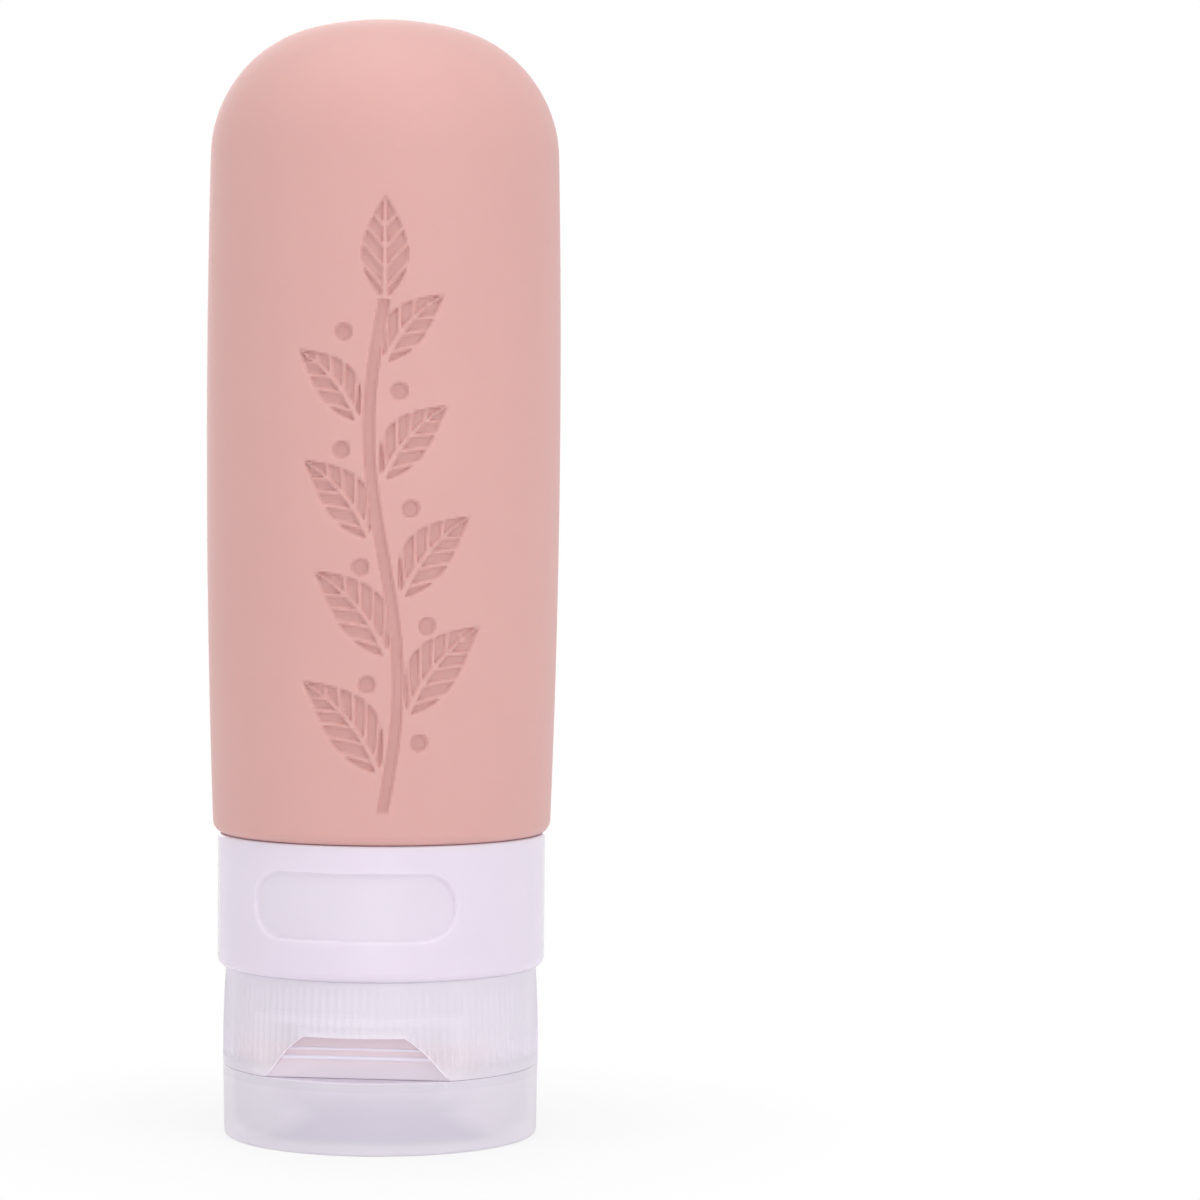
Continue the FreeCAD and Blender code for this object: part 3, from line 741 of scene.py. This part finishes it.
cap_rows = round((CAP_TOP_Z - PARTING_Z) / RIB_ROW)
cap_barrel = bowed((CAP_R, PARTING_Z), (CAP_TOP_R, CAP_TOP_Z), CAP_BULGE, cap_rows)
barrel_foot = PARTING_Z + SEAM_ROUND
barrel_head = CAP_TOP_Z - SEAM_ROUND
cap_barrel = [point for point in cap_barrel if barrel_foot < point[1] < barrel_head]
cap_profile = (
    profile_of([
        (NOZZLE_BORE_R, NOZZLE_FOOT_Z, EDGE_ROUND),
        (NOZZLE_R, NOZZLE_FOOT_Z, EDGE_ROUND),
        (NOZZLE_R, PARTING_Z, EDGE_ROUND),
        (REGISTER_R - REGISTER_WALL, PARTING_Z),
        (REGISTER_R - REGISTER_WALL, REGISTER_FOOT_Z, EDGE_ROUND),
        (REGISTER_R, REGISTER_FOOT_Z, EDGE_ROUND),
        (REGISTER_R, PARTING_Z),
        (CAP_R, PARTING_Z, SEAM_ROUND),
        (CAP_TOP_R, CAP_TOP_Z),
    ])[1:-1]
    + cap_barrel
    + profile_of([
        (CAP_R, PARTING_Z),
        (CAP_TOP_R, CAP_TOP_Z, SEAM_ROUND),
        (CAP_TOP_R - CAP_WALL, CAP_TOP_Z, EDGE_ROUND),
        (CAP_R - CAP_WALL, DECK_Z, EDGE_ROUND),
        (SKIRT_R + SKIRT_WALL, DECK_Z, EDGE_ROUND),
        (SKIRT_R + SKIRT_WALL, SKIRT_TOP_Z, EDGE_ROUND),
        (SKIRT_R, SKIRT_TOP_Z, EDGE_ROUND),
        (SKIRT_R, DECK_Z),
    ])[1:-1]
    + rows((SKIRT_R, SKIRT_TOP_Z - 2 * EDGE_ROUND), (SKIRT_R, DECK_Z), THREAD_STEP)
    + [
        (SKIRT_R, DECK_Z),
        (SOCKET_R + SOCKET_WALL, DECK_Z),
        (SOCKET_R + SOCKET_WALL, SOCKET_TOP_Z),
        (SOCKET_R - SOCKET_BEAD, SOCKET_TOP_Z),
        (SOCKET_R - SOCKET_BEAD, SOCKET_BEAD_Z),
        (SOCKET_R, SOCKET_BEAD_Z),
        (SOCKET_R, DECK_Z),
        (NOZZLE_BORE_R, DECK_Z),
    ]
)
cap_base = turned("screw_cap", cap_profile, [(360, RIB_COUNT * RIB_COLUMNS)], 0.0)

# The flutes between the ribs are sunk, deepest at the foot, and the thread stands out inside the skirt.
points = points_of(cap_base)
radius, angle = around(points)
column = np.round(angle / 360 * RIB_COUNT * RIB_COLUMNS).astype(int) % RIB_COLUMNS
on_wall = radius > CAP_TOP_R - CAP_WALL / 2
fluted = (column >= RIB_COLUMNS / 2) & on_wall
over_scoop = (points[:, 1] < 0) & (np.abs(points[:, 0]) < SCOOP_TOP_W / 2 + RIB_RUN_OUT)
rib_foot = np.where(over_scoop, SCOOP_TOP_Z + RIB_RUN_OUT, RIB_FOOT_Z)
rib_depth = np.interp(points[:, 2], (RIB_FOOT_Z, RIB_HEAD_Z), (RIB_DEPTH_FOOT, RIB_DEPTH_HEAD))
from_end = np.minimum(points[:, 2] - rib_foot, RIB_HEAD_Z - points[:, 2])
flute = rib_depth * step_up(from_end, RIB_RUN_OUT) * fluted
on_skirt = (np.abs(radius - SKIRT_R) < ON_SURFACE) & (points[:, 2] > DECK_Z + OFF_EDGE)
half_pitch = THREAD_LEAD / THREAD_STARTS / 2
ridge = thread(points, SKIRT_THREAD_LOW_Z, SKIRT_THREAD_HIGH_Z, NECK_THREAD_WIDTH, half_pitch)
moved = -flute - SKIRT_THREAD_RISE * ridge * on_skirt
push_out(points, radius, moved)
move_points(cap_base, points)


def sector(name, corners, degrees, steps):
    """A closed block with the given profile, swept round the front by an angle."""
    block = turned(name, corners, [(degrees, steps)], -degrees / 2)
    bpy.ops.object.mode_set(mode="EDIT")
    bpy.ops.mesh.select_all(action="SELECT")
    bpy.ops.mesh.fill_holes(sides=0)
    bpy.ops.object.mode_set(mode="OBJECT")
    face_outward()
    return block


block_in = SKIRT_R + SKIRT_WALL / 2
block_out = CAP_TOP_R - CAP_WALL / 2
block_foot = (PARTING_Z + DECK_Z) / 2
block_head = SCOOP_TOP_Z + SCOOP_WALL
scoop_block = sector("scoop_block", [
    (block_in, block_foot), (block_out, block_foot), (block_out, block_head), (block_in, block_head),
], SCOOP_BLOCK_DEG, SECTOR_STEPS)
reshape(cap_base, scoop_block, "UNION")
break_in = REGISTER_R - REGISTER_WALL - CUT_OVER
break_out = REGISTER_R + CUT_OVER
break_foot = REGISTER_FOOT_Z - CUT_OVER
register_break = sector("register_break", [
    (break_in, break_foot), (break_out, break_foot), (break_out, PARTING_Z), (break_in, PARTING_Z),
], REGISTER_BREAK_DEG, SECTOR_STEPS)
reshape(cap_base, register_break, "DIFFERENCE")

# The scoop's outline is drawn on its back wall, with its sides bowed out, and pulled out to the front.
right_side = []
for n in range(SCOOP_ROWS + 1):
    share = n / SCOOP_ROWS
    bowed_share = share - SCOOP_BOW * share * share * (1 - share)
    half = SCOOP_FOOT_W / 2 + (SCOOP_TOP_W - SCOOP_FOOT_W) / 2 * bowed_share
    right_side.append((half, PARTING_Z + (SCOOP_TOP_Z - PARTING_Z) * share))
right_side = [(SCOOP_FOOT_W / 2, PARTING_Z - CUT_OVER)] + right_side
scoop_outline = right_side + [(-x, z) for x, z in right_side[::-1]]
bpy.ops.object.select_all(action="DESELECT")
bpy.ops.mesh.primitive_circle_add(vertices=len(scoop_outline), radius=MM, fill_type="NGON")
scoop = bpy.context.object
for corner, (x, z) in zip(scoop.data.vertices, scoop_outline):
    corner.co = (x * MM, -SCOOP_BACK_Y * MM, z * MM)
bpy.ops.object.mode_set(mode="EDIT")
bpy.ops.mesh.select_all(action="SELECT")
scoop_reach = CAP_R + SCOOP_OVER - SCOOP_BACK_Y
bpy.ops.mesh.extrude_region_move(TRANSFORM_OT_translate={"value": (0, -scoop_reach * MM, 0)})
bpy.ops.object.mode_set(mode="OBJECT")
face_outward()
reshape(cap_base, scoop, "DIFFERENCE")

# Two low ridges across the scoop's back wall for the thumb, each sunk into the scoop's sides.
for ridge_z, ridge_r in SCOOP_RIDGES:
    ridge_half = np.interp(ridge_z, [z for x, z in right_side], [x for x, z in right_side]) + CUT_OVER
    bpy.ops.object.select_all(action="DESELECT")
    bpy.ops.mesh.primitive_cylinder_add(
        vertices=RIDGE_SIDES, radius=ridge_r * MM, depth=2 * ridge_half * MM,
        location=(0, -SCOOP_BACK_Y * MM, ridge_z * MM), rotation=(0, math.pi / 2, 0),
    )
    thumb_ridge = bpy.context.object
    bpy.ops.object.transform_apply(location=True, rotation=True, scale=True)
    reshape(cap_base, thumb_ridge, "UNION")


def wall_r(z):
    """The radius of the cap's outer wall at a height."""
    return np.interp(z, [height for r, height in cap_barrel], [r for r, height in cap_barrel])


# A fine rounded edge runs up each side of the scoop's mouth.
for side in (1, -1):
    edge_rows = right_side[EDGE_FIRST_ROW:]
    path = [np.array((side * x, -math.sqrt(wall_r(z) ** 2 - x ** 2), z)) * MM for x, z in edge_rows]
    bpy.ops.object.select_all(action="DESELECT")
    bpy.ops.mesh.primitive_circle_add(
        vertices=EDGE_SIDES, radius=SCOOP_EDGE_R * MM, fill_type="NGON", location=path[0],
    )
    scoop_edge = bpy.context.object
    bpy.ops.object.transform_apply(location=True, rotation=True, scale=True)
    bpy.ops.object.mode_set(mode="EDIT")
    bpy.ops.mesh.select_all(action="SELECT")
    for here, there in zip(path, path[1:]):
        bpy.ops.mesh.extrude_region_move(TRANSFORM_OT_translate={"value": there - here})
    bpy.ops.object.mode_set(mode="OBJECT")
    face_outward()
    reshape(cap_base, scoop_edge, "UNION")
smooth(cap_base, CAP_SMOOTH_DEG)

# How much each wall hides of what lies behind it: the fine edges most, the skirt's polished inside least.
# The skin hides a little more, with soft ends, where the block of the scoop thickens it.
SKIN_HIDES = 0.72
WALL_HIDES = 0.8
SCOOP_HIDES = 0.82
SKIRT_HIDES = 0.3
THICK_HIDES = 0.775
THICK_FADE = 1.2
THICK_FADE_DEG = 6.0
EDGE_HIDES = 0.97


def middles_of(piece):
    """The middles of a piece's faces in millimetres, one in each row."""
    flat = np.empty(len(piece.data.polygons) * 3)
    piece.data.polygons.foreach_get("center", flat)
    return flat.reshape(-1, 3) / MM


middles = middles_of(cap_base)
radius, angle = around(middles)
above_deck = middles[:, 2] > DECK_Z + EDGE_ROUND
inside_wall = above_deck & (np.abs(radius - (CAP_R - CAP_WALL)) < CAP_WALL / 2)
inside_skirt = above_deck & (np.abs(radius - SKIRT_R) < SKIRT_WALL / 2)
in_scoop = (middles[:, 1] < -SCOOP_BACK_Y + CUT_OVER) & (radius < CAP_TOP_R - CAP_WALL / 2)
in_scoop &= (middles[:, 2] < SCOOP_TOP_Z + CUT_OVER) & (middles[:, 2] > PARTING_Z + SEAM_ROUND)
on_skin = radius > CAP_TOP_R - CAP_WALL / 2
low_enough = step_up(block_head + THICK_FADE - middles[:, 2], THICK_FADE)
near_front = step_up(SCOOP_BLOCK_DEG / 2 + THICK_FADE_DEG / 2 - np.abs(angle), THICK_FADE_DEG)
shares = SKIN_HIDES + (THICK_HIDES - SKIN_HIDES) * low_enough * near_front * on_skin
shares[inside_wall] = WALL_HIDES
shares[inside_skirt] = SKIRT_HIDES
shares[in_scoop] = SCOOP_HIDES
shares[radius > wall_r(middles[:, 2]) + SCOOP_EDGE_R / 4] = EDGE_HIDES
for ridge_z, ridge_r in SCOOP_RIDGES:
    on_ridge = in_scoop & (np.abs(middles[:, 2] - ridge_z) < ridge_r)
    on_ridge &= np.abs(middles[:, 1] + SCOOP_BACK_Y + ridge_r / 2) < ridge_r / 2
    shares[on_ridge] = EDGE_HIDES
keep(cap_base, "hiding", "FACE", shares)

# The pink lip inside, seen through the wall, is painted on as a pink glow: on the back of the scoop, and on
# the foot of the wall at the front and the back.
WALL_LIP_GLOW = 0.55
WALL_LIP_GLOW_Z = 12.4
WALL_LIP_GLOW_FADE = 3.4
WALL_LIP_GLOW_Y = 11.5
WALL_LIP_GLOW_SPREAD = 7.0
on_back = in_scoop & (np.abs(middles[:, 1] + SCOOP_BACK_Y) < ON_SURFACE)
low = 1 - step_up(middles[:, 2] - WALL_LIP_GLOW_Z, WALL_LIP_GLOW_FADE)
facing = step_up(np.abs(middles[:, 1]) - WALL_LIP_GLOW_Y, WALL_LIP_GLOW_SPREAD)
tint = np.where(on_back, 1.0, WALL_LIP_GLOW * low * facing * on_skin)
keep(cap_base, "painted_lip_glow", "FACE", tint)

# Frosted finish: each face's own share sets how much it hides, its painted pink glow of the lip and its
# painted shade.
FROST_PALE = colour(252, 246, 255)
FROST_DEEP = colour(249, 242, 254)
FROST_LIP_GLOW = colour(255, 237, 243)
FROST_SHADE = colour(235, 227, 242)
LIP_GLOW_LOW_Z = 9.0
LIP_GLOW_HIGH_Z = 11.5
LIP_GLOW_LEAST = 0.35
FROST_ROUGH = 0.3
FROST_ROUGH_SPREAD = 0.1
HIDING_LEAST = 0.98
HIDING_SPREAD = 0.04
frosted_plastic, wire, place = new_finish("frosted_plastic")
cloud = noise(wire, place, scale=120.0, detail=3.0)
frost = noise(wire, place, scale=3500.0)
height = wire.node("ShaderNodeSeparateXYZ", {}, {0: place}, "Z")
# The painted pink glow of the lip is weaker low down on the cap.
painted_lip_glow = kept_share(wire, "painted_lip_glow") * ramp(wire, height, LIP_GLOW_LOW_Z * MM, LIP_GLOW_HIGH_Z * MM, LIP_GLOW_LEAST)

# A soft shade with a waist is painted on the lid's wall, between its foot and its rim, standing in for what
# the lid holds showing darker through it. It is turned 10 degrees, towards the camera.
WAIST_Z = 4.4
WAIST_HALF = 8.0
WAIST_CONE = 0.65
WAIST_FAN = 1.5
WAIST_SOFT = 2.2
WAIST_TURN = math.radians(10)
SHADE_FOOT_Z = 1.4
SHADE_FOOT_FADE = 0.5
SHADE_HEAD_Z = 6.0
SHADE_HEAD_FADE = 1.8
shade = kept_share(wire, "shade")
along_x = wire.node("ShaderNodeSeparateXYZ", {}, {0: place}, "X")
along_y = wire.node("ShaderNodeSeparateXYZ", {}, {0: place}, "Y")
across = wire.maths("ABSOLUTE", along_x * math.cos(WAIST_TURN) + along_y * math.sin(WAIST_TURN), 0.0)
from_waist = height - WAIST_Z * MM
half = wire.maths("MAXIMUM", from_waist * WAIST_CONE, from_waist * -WAIST_FAN) + WAIST_HALF * MM
above_foot = height - SHADE_FOOT_Z * MM
below_head = SHADE_HEAD_Z * MM - height
fades = ((half - across, WAIST_SOFT), (above_foot, SHADE_FOOT_FADE), (below_head, SHADE_HEAD_FADE))
for depth, fade in fades:
    shade = shade * ramp(wire, depth, -fade * MM, fade * MM)
tinted = between(wire, painted_lip_glow, between(wire, cloud, FROST_DEEP, FROST_PALE), FROST_LIP_GLOW)
frosted = wire.node("ShaderNodeBsdfPrincipled", {}, {
    "Base Color": between(wire, shade, tinted, FROST_SHADE),
    "Roughness": cloud * FROST_ROUGH_SPREAD + FROST_ROUGH,
    "IOR": 1.49,
    "Alpha": kept_share(wire, "hiding") * (cloud * HIDING_SPREAD + HIDING_LEAST),
    "Normal": bump(wire, frost, strength=0.1, distance=0.02),
})
wire.node("ShaderNodeOutputMaterial", {}, {"Surface": frosted})
dress(cap_base, frosted_plastic)
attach(cap_base, "cap")
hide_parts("cap_base")

# Lid: shallow frosted cup that the bottle stands on, moulded with the cap and joined to it by the hinge.
# A hollow plug shuts the nozzle, and a ledge inside the front wall gives the thumb something to lift.
LID_HEIGHT = 8.3
LID_R = 18.4
LID_DRAFT = 0.15
LID_WALL = 1.2
LID_FLOOR = 1.4
LID_FOOT_ROUND = 0.8
LID_EDGE_ROUND = 0.45
PLUG_R = 4.85
PLUG_WALL = 0.9
PLUG_TOP_Z = 8.7
PLUG_TIP = 0.5
LEDGE_DEPTH = 2.6
LEDGE_HEIGHT = 2.2
LEDGE_DEG = 70.0
LEDGE_SINK = 0.01
LID_HIDES = 0.64
LID_WALL_HIDES = 0.5
LID_TOP_HIDES = 0.85
RIM_Z = 7.25
RIM_HIDES = 0.61
FLOOR_HIDES = 0.9
PLUG_HIDES = 0.92
LEDGE_HIDES = 0.48
LEDGE_TAPER = 0.86
LEDGE_SPARE_DEG = 1.0
LID_STEPS = 240

rim_lean = LID_DRAFT * (1 - RIM_Z / LID_HEIGHT)
lid_profile = profile_of([
    (0.0, 0.0),
    (LID_R - LID_DRAFT, 0.0, LID_EDGE_ROUND),
    (LID_R - rim_lean, RIM_Z),
    (LID_R, LID_HEIGHT, SEAM_ROUND),
    (LID_R - LID_WALL, LID_HEIGHT, EDGE_ROUND),
    (LID_R - LID_WALL - rim_lean, RIM_Z),
    (LID_R - LID_DRAFT - LID_WALL, LID_FLOOR, LID_FOOT_ROUND),
    (PLUG_R, LID_FLOOR, EDGE_ROUND),
    (PLUG_R, PLUG_TOP_Z - PLUG_TIP),
    (PLUG_R - PLUG_TIP, PLUG_TOP_Z),
    (PLUG_R - PLUG_WALL, PLUG_TOP_Z),
    (PLUG_R - PLUG_WALL, LID_FLOOR, EDGE_ROUND),
    (0.0, LID_FLOOR),
])
cap_lid = turned("flip_lid", lid_profile, [(360, LID_STEPS)], 0.0, closed=False)
ledge_out = LID_R - LID_WALL / 2
ledge_in = LID_R - LID_WALL - LEDGE_DEPTH
thumb_ledge = sector("thumb_ledge", [
    (ledge_out, LID_HEIGHT - LEDGE_SINK),
    (ledge_in, LID_HEIGHT - LEDGE_SINK),
    (ledge_in, LID_HEIGHT - LEDGE_HEIGHT),
    (ledge_out, LID_HEIGHT - LEDGE_HEIGHT - LEDGE_DEPTH / 2),
], LEDGE_DEG, SECTOR_STEPS)
points = points_of(thumb_ledge)
radius, angle = around(points)
turn = np.radians(np.where(points[:, 2] < LID_HEIGHT - LEDGE_HEIGHT / 2, angle * LEDGE_TAPER, angle))
move_points(thumb_ledge, np.stack([radius * np.sin(turn), -radius * np.cos(turn), points[:, 2]], axis=1))
reshape(cap_lid, thumb_ledge, "UNION")
smooth(cap_lid)

# How much each part of the lid hides, and where its wall takes the painted shade.
middles = middles_of(cap_lid)
radius, angle = around(middles)
above_floor = middles[:, 2] > LID_FLOOR
inner_r = LID_R - LID_WALL
inside_wall = above_floor & (np.abs(radius - inner_r) < LID_WALL / 2)
on_rim = (middles[:, 2] > RIM_Z) & (radius > inner_r - LID_WALL / 2)
on_ledge = above_floor & (np.abs(angle) < LEDGE_DEG / 2 + LEDGE_SPARE_DEG)
on_ledge &= (radius > ledge_in - EDGE_ROUND) & (radius < inner_r - EDGE_ROUND)
on_top = (middles[:, 2] > LID_HEIGHT - EDGE_ROUND / 2) & (radius > ledge_in)
on_floor = (np.abs(middles[:, 2] - LID_FLOOR) < EDGE_ROUND / 4) & (radius < inner_r - LID_FOOT_ROUND)
shares = np.full(len(middles), LID_HIDES)
shares[inside_wall] = LID_WALL_HIDES
shares[on_rim] = RIM_HIDES
shares[on_floor] = FLOOR_HIDES
shares[above_floor & (radius < PLUG_R + EDGE_ROUND)] = PLUG_HIDES
shares[on_ledge] = LEDGE_HIDES
shares[on_top] = LID_TOP_HIDES
keep(cap_lid, "hiding", "FACE", shares)
keep(cap_lid, "shade", "FACE", radius > inner_r + LID_WALL / 2)
dress(cap_lid, frosted_plastic)
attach(cap_lid, "lid")
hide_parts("cap_lid")

# Living hinge: thin bow tie moulded in one with cap and lid, proud of the wall at the back.
# A short strap lies on the parting line, and a folded flap at each end snaps over to hold the lid open.
HINGE_SEAT = 0.02
HINGE_THICK = 0.65
HINGE_FOLD = 0.3
HINGE_FOLD_HALF = 0.18
STRAP_HALF_W = 3.95
STRAP_HALF_H = 0.475
WING_OUTER_X = 9.4
WING_OUTER_HALF_H = 3.15
HINGE_MID_Z = 8.35
HINGE_COLUMNS = 40
HINGE_ROWS = 10
HINGE_THROAT = 0.12
HINGE_RIM = 0.22
HINGE_RIM_ROW = 0.8
HINGE_RIM_COLUMN = 0.96
HINGE_PANEL = 0.12
HINGE_SPARE = 0.01
STRAIN_REACH = 1.5

bpy.ops.object.select_all(action="DESELECT")
bpy.ops.mesh.primitive_grid_add(x_subdivisions=HINGE_COLUMNS, y_subdivisions=HINGE_ROWS, size=2)
bow_hinge = bpy.context.object
bow_hinge.name = "bow_tie_hinge"
bow_hinge.data.name = "bow_tie_hinge"
bpy.ops.object.mode_set(mode="EDIT")
bpy.ops.mesh.select_all(action="SELECT")
bpy.ops.mesh.extrude_region_move(TRANSFORM_OT_translate={"value": (0, 0, 1)})
bpy.ops.object.mode_set(mode="OBJECT")
flat = points_of(bow_hinge) * MM
x = flat[:, 0] * WING_OUTER_X
row = np.abs(flat[:, 1])
rise = (np.abs(x) - STRAP_HALF_W) / (WING_OUTER_X - STRAP_HALF_W)
outer = (rise + np.hypot(rise, HINGE_THROAT)) / (1 + math.hypot(1, HINGE_THROAT))
half_h = STRAP_HALF_H + (WING_OUTER_HALF_H - STRAP_HALF_H) * outer
inner_h = half_h - HINGE_RIM
rim_share = np.clip((row - HINGE_RIM_ROW) / (1 - HINGE_RIM_ROW), 0, 1)
up = np.sign(flat[:, 1]) * (np.minimum(row / HINGE_RIM_ROW, 1) * inner_h + rim_share * HINGE_RIM)
fold = HINGE_FOLD * np.clip(1 - np.abs(up) / HINGE_FOLD_HALF, 0, 1) * (rise > 0)
panel = HINGE_PANEL * (row < HINGE_RIM_ROW - HINGE_SPARE) * (np.abs(flat[:, 0]) < HINGE_RIM_COLUMN)
reach = CAP_R + HINGE_SEAT + flat[:, 2] * (HINGE_THICK - np.maximum(fold, panel))
bent = np.stack([x, np.sqrt(reach ** 2 - x ** 2), HINGE_MID_Z + up], axis=1)
move_points(bow_hinge, bent)
face_outward()
smooth(bow_hinge)

# Hinge finish: the strap is bent the most, and goes white.
HINGE_PALE = colour(246, 242, 249)
HINGE_DEEP = colour(238, 231, 242)
HINGE_WHITE = colour(252, 250, 254)
HINGE_ROUGH = 0.28
HINGE_ROUGH_SPREAD = 0.1
hinge_plastic, wire, place = new_finish("hinge_plastic")
cloud = noise(wire, place, scale=500.0)
beside = wire.maths("ABSOLUTE", wire.node("ShaderNodeSeparateXYZ", {}, {0: place}, "X"), 0.0)
bending = ramp(wire, beside, STRAP_HALF_W * MM, STRAIN_REACH * STRAP_HALF_W * MM, 1.0, 0.0)
strained = wire.node("ShaderNodeBsdfPrincipled", {}, {
    "Base Color": between(wire, bending, between(wire, cloud, HINGE_DEEP, HINGE_PALE), HINGE_WHITE),
    "Roughness": cloud * HINGE_ROUGH_SPREAD + HINGE_ROUGH,
    "IOR": 1.49,
    "Subsurface Weight": 0.4,
    "Subsurface Radius": (1.0, 0.95, 1.0),
    "Subsurface Scale": 0.8 * MM,
})
wire.node("ShaderNodeOutputMaterial", {}, {"Surface": strained})
dress(bow_hinge, hinge_plastic)
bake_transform(bow_hinge)
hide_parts("hinge_strap", "hinge_wing_left", "hinge_wing_right")

# Stage: a plain white floor that keeps the bottle's shadow, a white surround, soft boxes and the camera.
# The eye sees through the floor, which is white below, so that a pose that swings below it stays in sight.
WHITE = (1, 1, 1, 1)
FLOOR_SIZE = 6.0
FLOOR_DROP = 0.02
FLOOR_GREY = colour(244, 244, 246)
FLOOR_SHADE_SHARE = 0.25
FLOOR_SHADE_NEAR = 0.018
FLOOR_SHADE_FAR = 0.07
SURROUND_LIGHT = 0.55
CAMERA_LENS = 120.0
CAMERA_SENSOR = 36.0
CAMERA_AZIMUTH = 10.0
CAMERA_DISTANCE = 468.0
CAMERA_HEIGHT = 78.0
CAMERA_PITCH = 1.9
CAMERA_ROLL = 0.4
AXIS_PIXEL = 383.0
PHOTO_PIXELS = 1200.0


def seen_directly(wire):
    """1 for rays from the eye, mirrored ones and those let through too, and 0 for other light."""
    kinds = ("Is Camera Ray", "Is Glossy Ray", "Is Transmission Ray")
    straight, mirrored, through = [wire.node("ShaderNodeLightPath", {}, {}, kind) for kind in kinds]
    return wire.maths("MAXIMUM", straight, wire.maths("MAXIMUM", mirrored, through))


bpy.ops.object.select_all(action="DESELECT")
bpy.ops.mesh.primitive_plane_add(size=FLOOR_SIZE, location=(0, 0, -FLOOR_DROP * MM))
floor = bpy.context.object
floor.name = "floor"
floor_finish, wire, place = new_finish("white_floor")
top_side = wire.node("ShaderNodeBsdfDiffuse", {}, {"Color": FLOOR_GREY})
under_side = wire.node("ShaderNodeEmission", {}, {"Color": WHITE, "Strength": 1.0})
from_below = wire.node("ShaderNodeNewGeometry", {}, {}, "Backfacing")
lit = wire.node("ShaderNodeMixShader", {}, {0: from_below, 1: top_side, 2: under_side})
plain = wire.node("ShaderNodeBsdfTransparent", {}, {"Color": WHITE})
away = wire.node("ShaderNodeVectorMath", {"operation": "LENGTH"}, {0: place}, "Value")
near = ramp(wire, away, FLOOR_SHADE_NEAR, FLOOR_SHADE_FAR, FLOOR_SHADE_SHARE, 0.0)
floor_mix = wire.node("ShaderNodeMixShader", {}, {0: seen_directly(wire) * (1 - near), 1: lit, 2: plain})
wire.node("ShaderNodeOutputMaterial", {}, {"Surface": floor_mix})
dress(floor, floor_finish)

world = bpy.data.worlds.new("white_surround")
bpy.context.scene.world = world
world.use_nodes = True
world.node_tree.nodes.clear()
wire = Wire(world.node_tree)
brightness = seen_directly(wire) * (1 - SURROUND_LIGHT) + SURROUND_LIGHT
glow = wire.node("ShaderNodeBackground", {}, {"Color": WHITE, "Strength": brightness})
wire.node("ShaderNodeOutputWorld", {}, {"Surface": glow})

# Each soft box: place, aim and size in metres, and power in watts.
SOFT_BOXES = {
    "left_box": ((-0.6, -0.5, 0.35), (0, 0, 0.06), 0.5, 0.8),
    "right_box": ((0.65, -0.55, 0.4), (0, 0, 0.06), 0.5, 1.95),
    "top_box": ((0.0, -0.1, 0.75), (0, 0, 0.05), 0.6, 1.7),
    "front_box": ((0.1, -0.8, 0.12), (0, 0, 0.06), 0.5, 0.7),
    "back_box": ((-0.25, 0.75, 0.3), (0, 0, 0.06), 0.6, 1.6),
}
for name, (spot, aim, size, power) in SOFT_BOXES.items():
    bpy.ops.object.light_add(type="AREA", location=spot)
    lamp = bpy.context.object
    lamp.name = name
    lamp.data.shape = "SQUARE"
    lamp.data.size = size
    lamp.data.energy = power
    lamp.rotation_euler = (Vector(aim) - Vector(spot)).to_track_quat("-Z", "Y").to_euler()

# The camera is turned aside so that the bottle's axis falls on its own column of pixels.
azimuth = math.radians(CAMERA_AZIMUTH)
camera_x = math.sin(azimuth) * CAMERA_DISTANCE
camera_y = -math.cos(azimuth) * CAMERA_DISTANCE
camera_spot = Vector((camera_x, camera_y, CAMERA_HEIGHT)) * MM
bpy.ops.object.camera_add(location=camera_spot)
camera = bpy.context.object
camera.data.lens = CAMERA_LENS
camera.data.sensor_width = CAMERA_SENSOR
pixels_per_unit = CAMERA_LENS / CAMERA_SENSOR * PHOTO_PIXELS
yaw = math.atan((PHOTO_PIXELS / 2 - AXIS_PIXEL) / pixels_per_unit)
look = Vector((-math.sin(azimuth), math.cos(azimuth), 0))
ahead = Matrix.Rotation(-yaw, 4, "Z") @ look
ahead.z = -math.tan(math.radians(CAMERA_PITCH))
aimed = ahead.to_track_quat("-Z", "Y").to_matrix().to_4x4()
rolled = Matrix.Rotation(math.radians(CAMERA_ROLL), 4, "Z")
camera.matrix_world = Matrix.Translation(camera_spot) @ (aimed @ rolled)
bpy.context.scene.camera = camera
bpy.context.scene.view_settings.view_transform = "Standard"
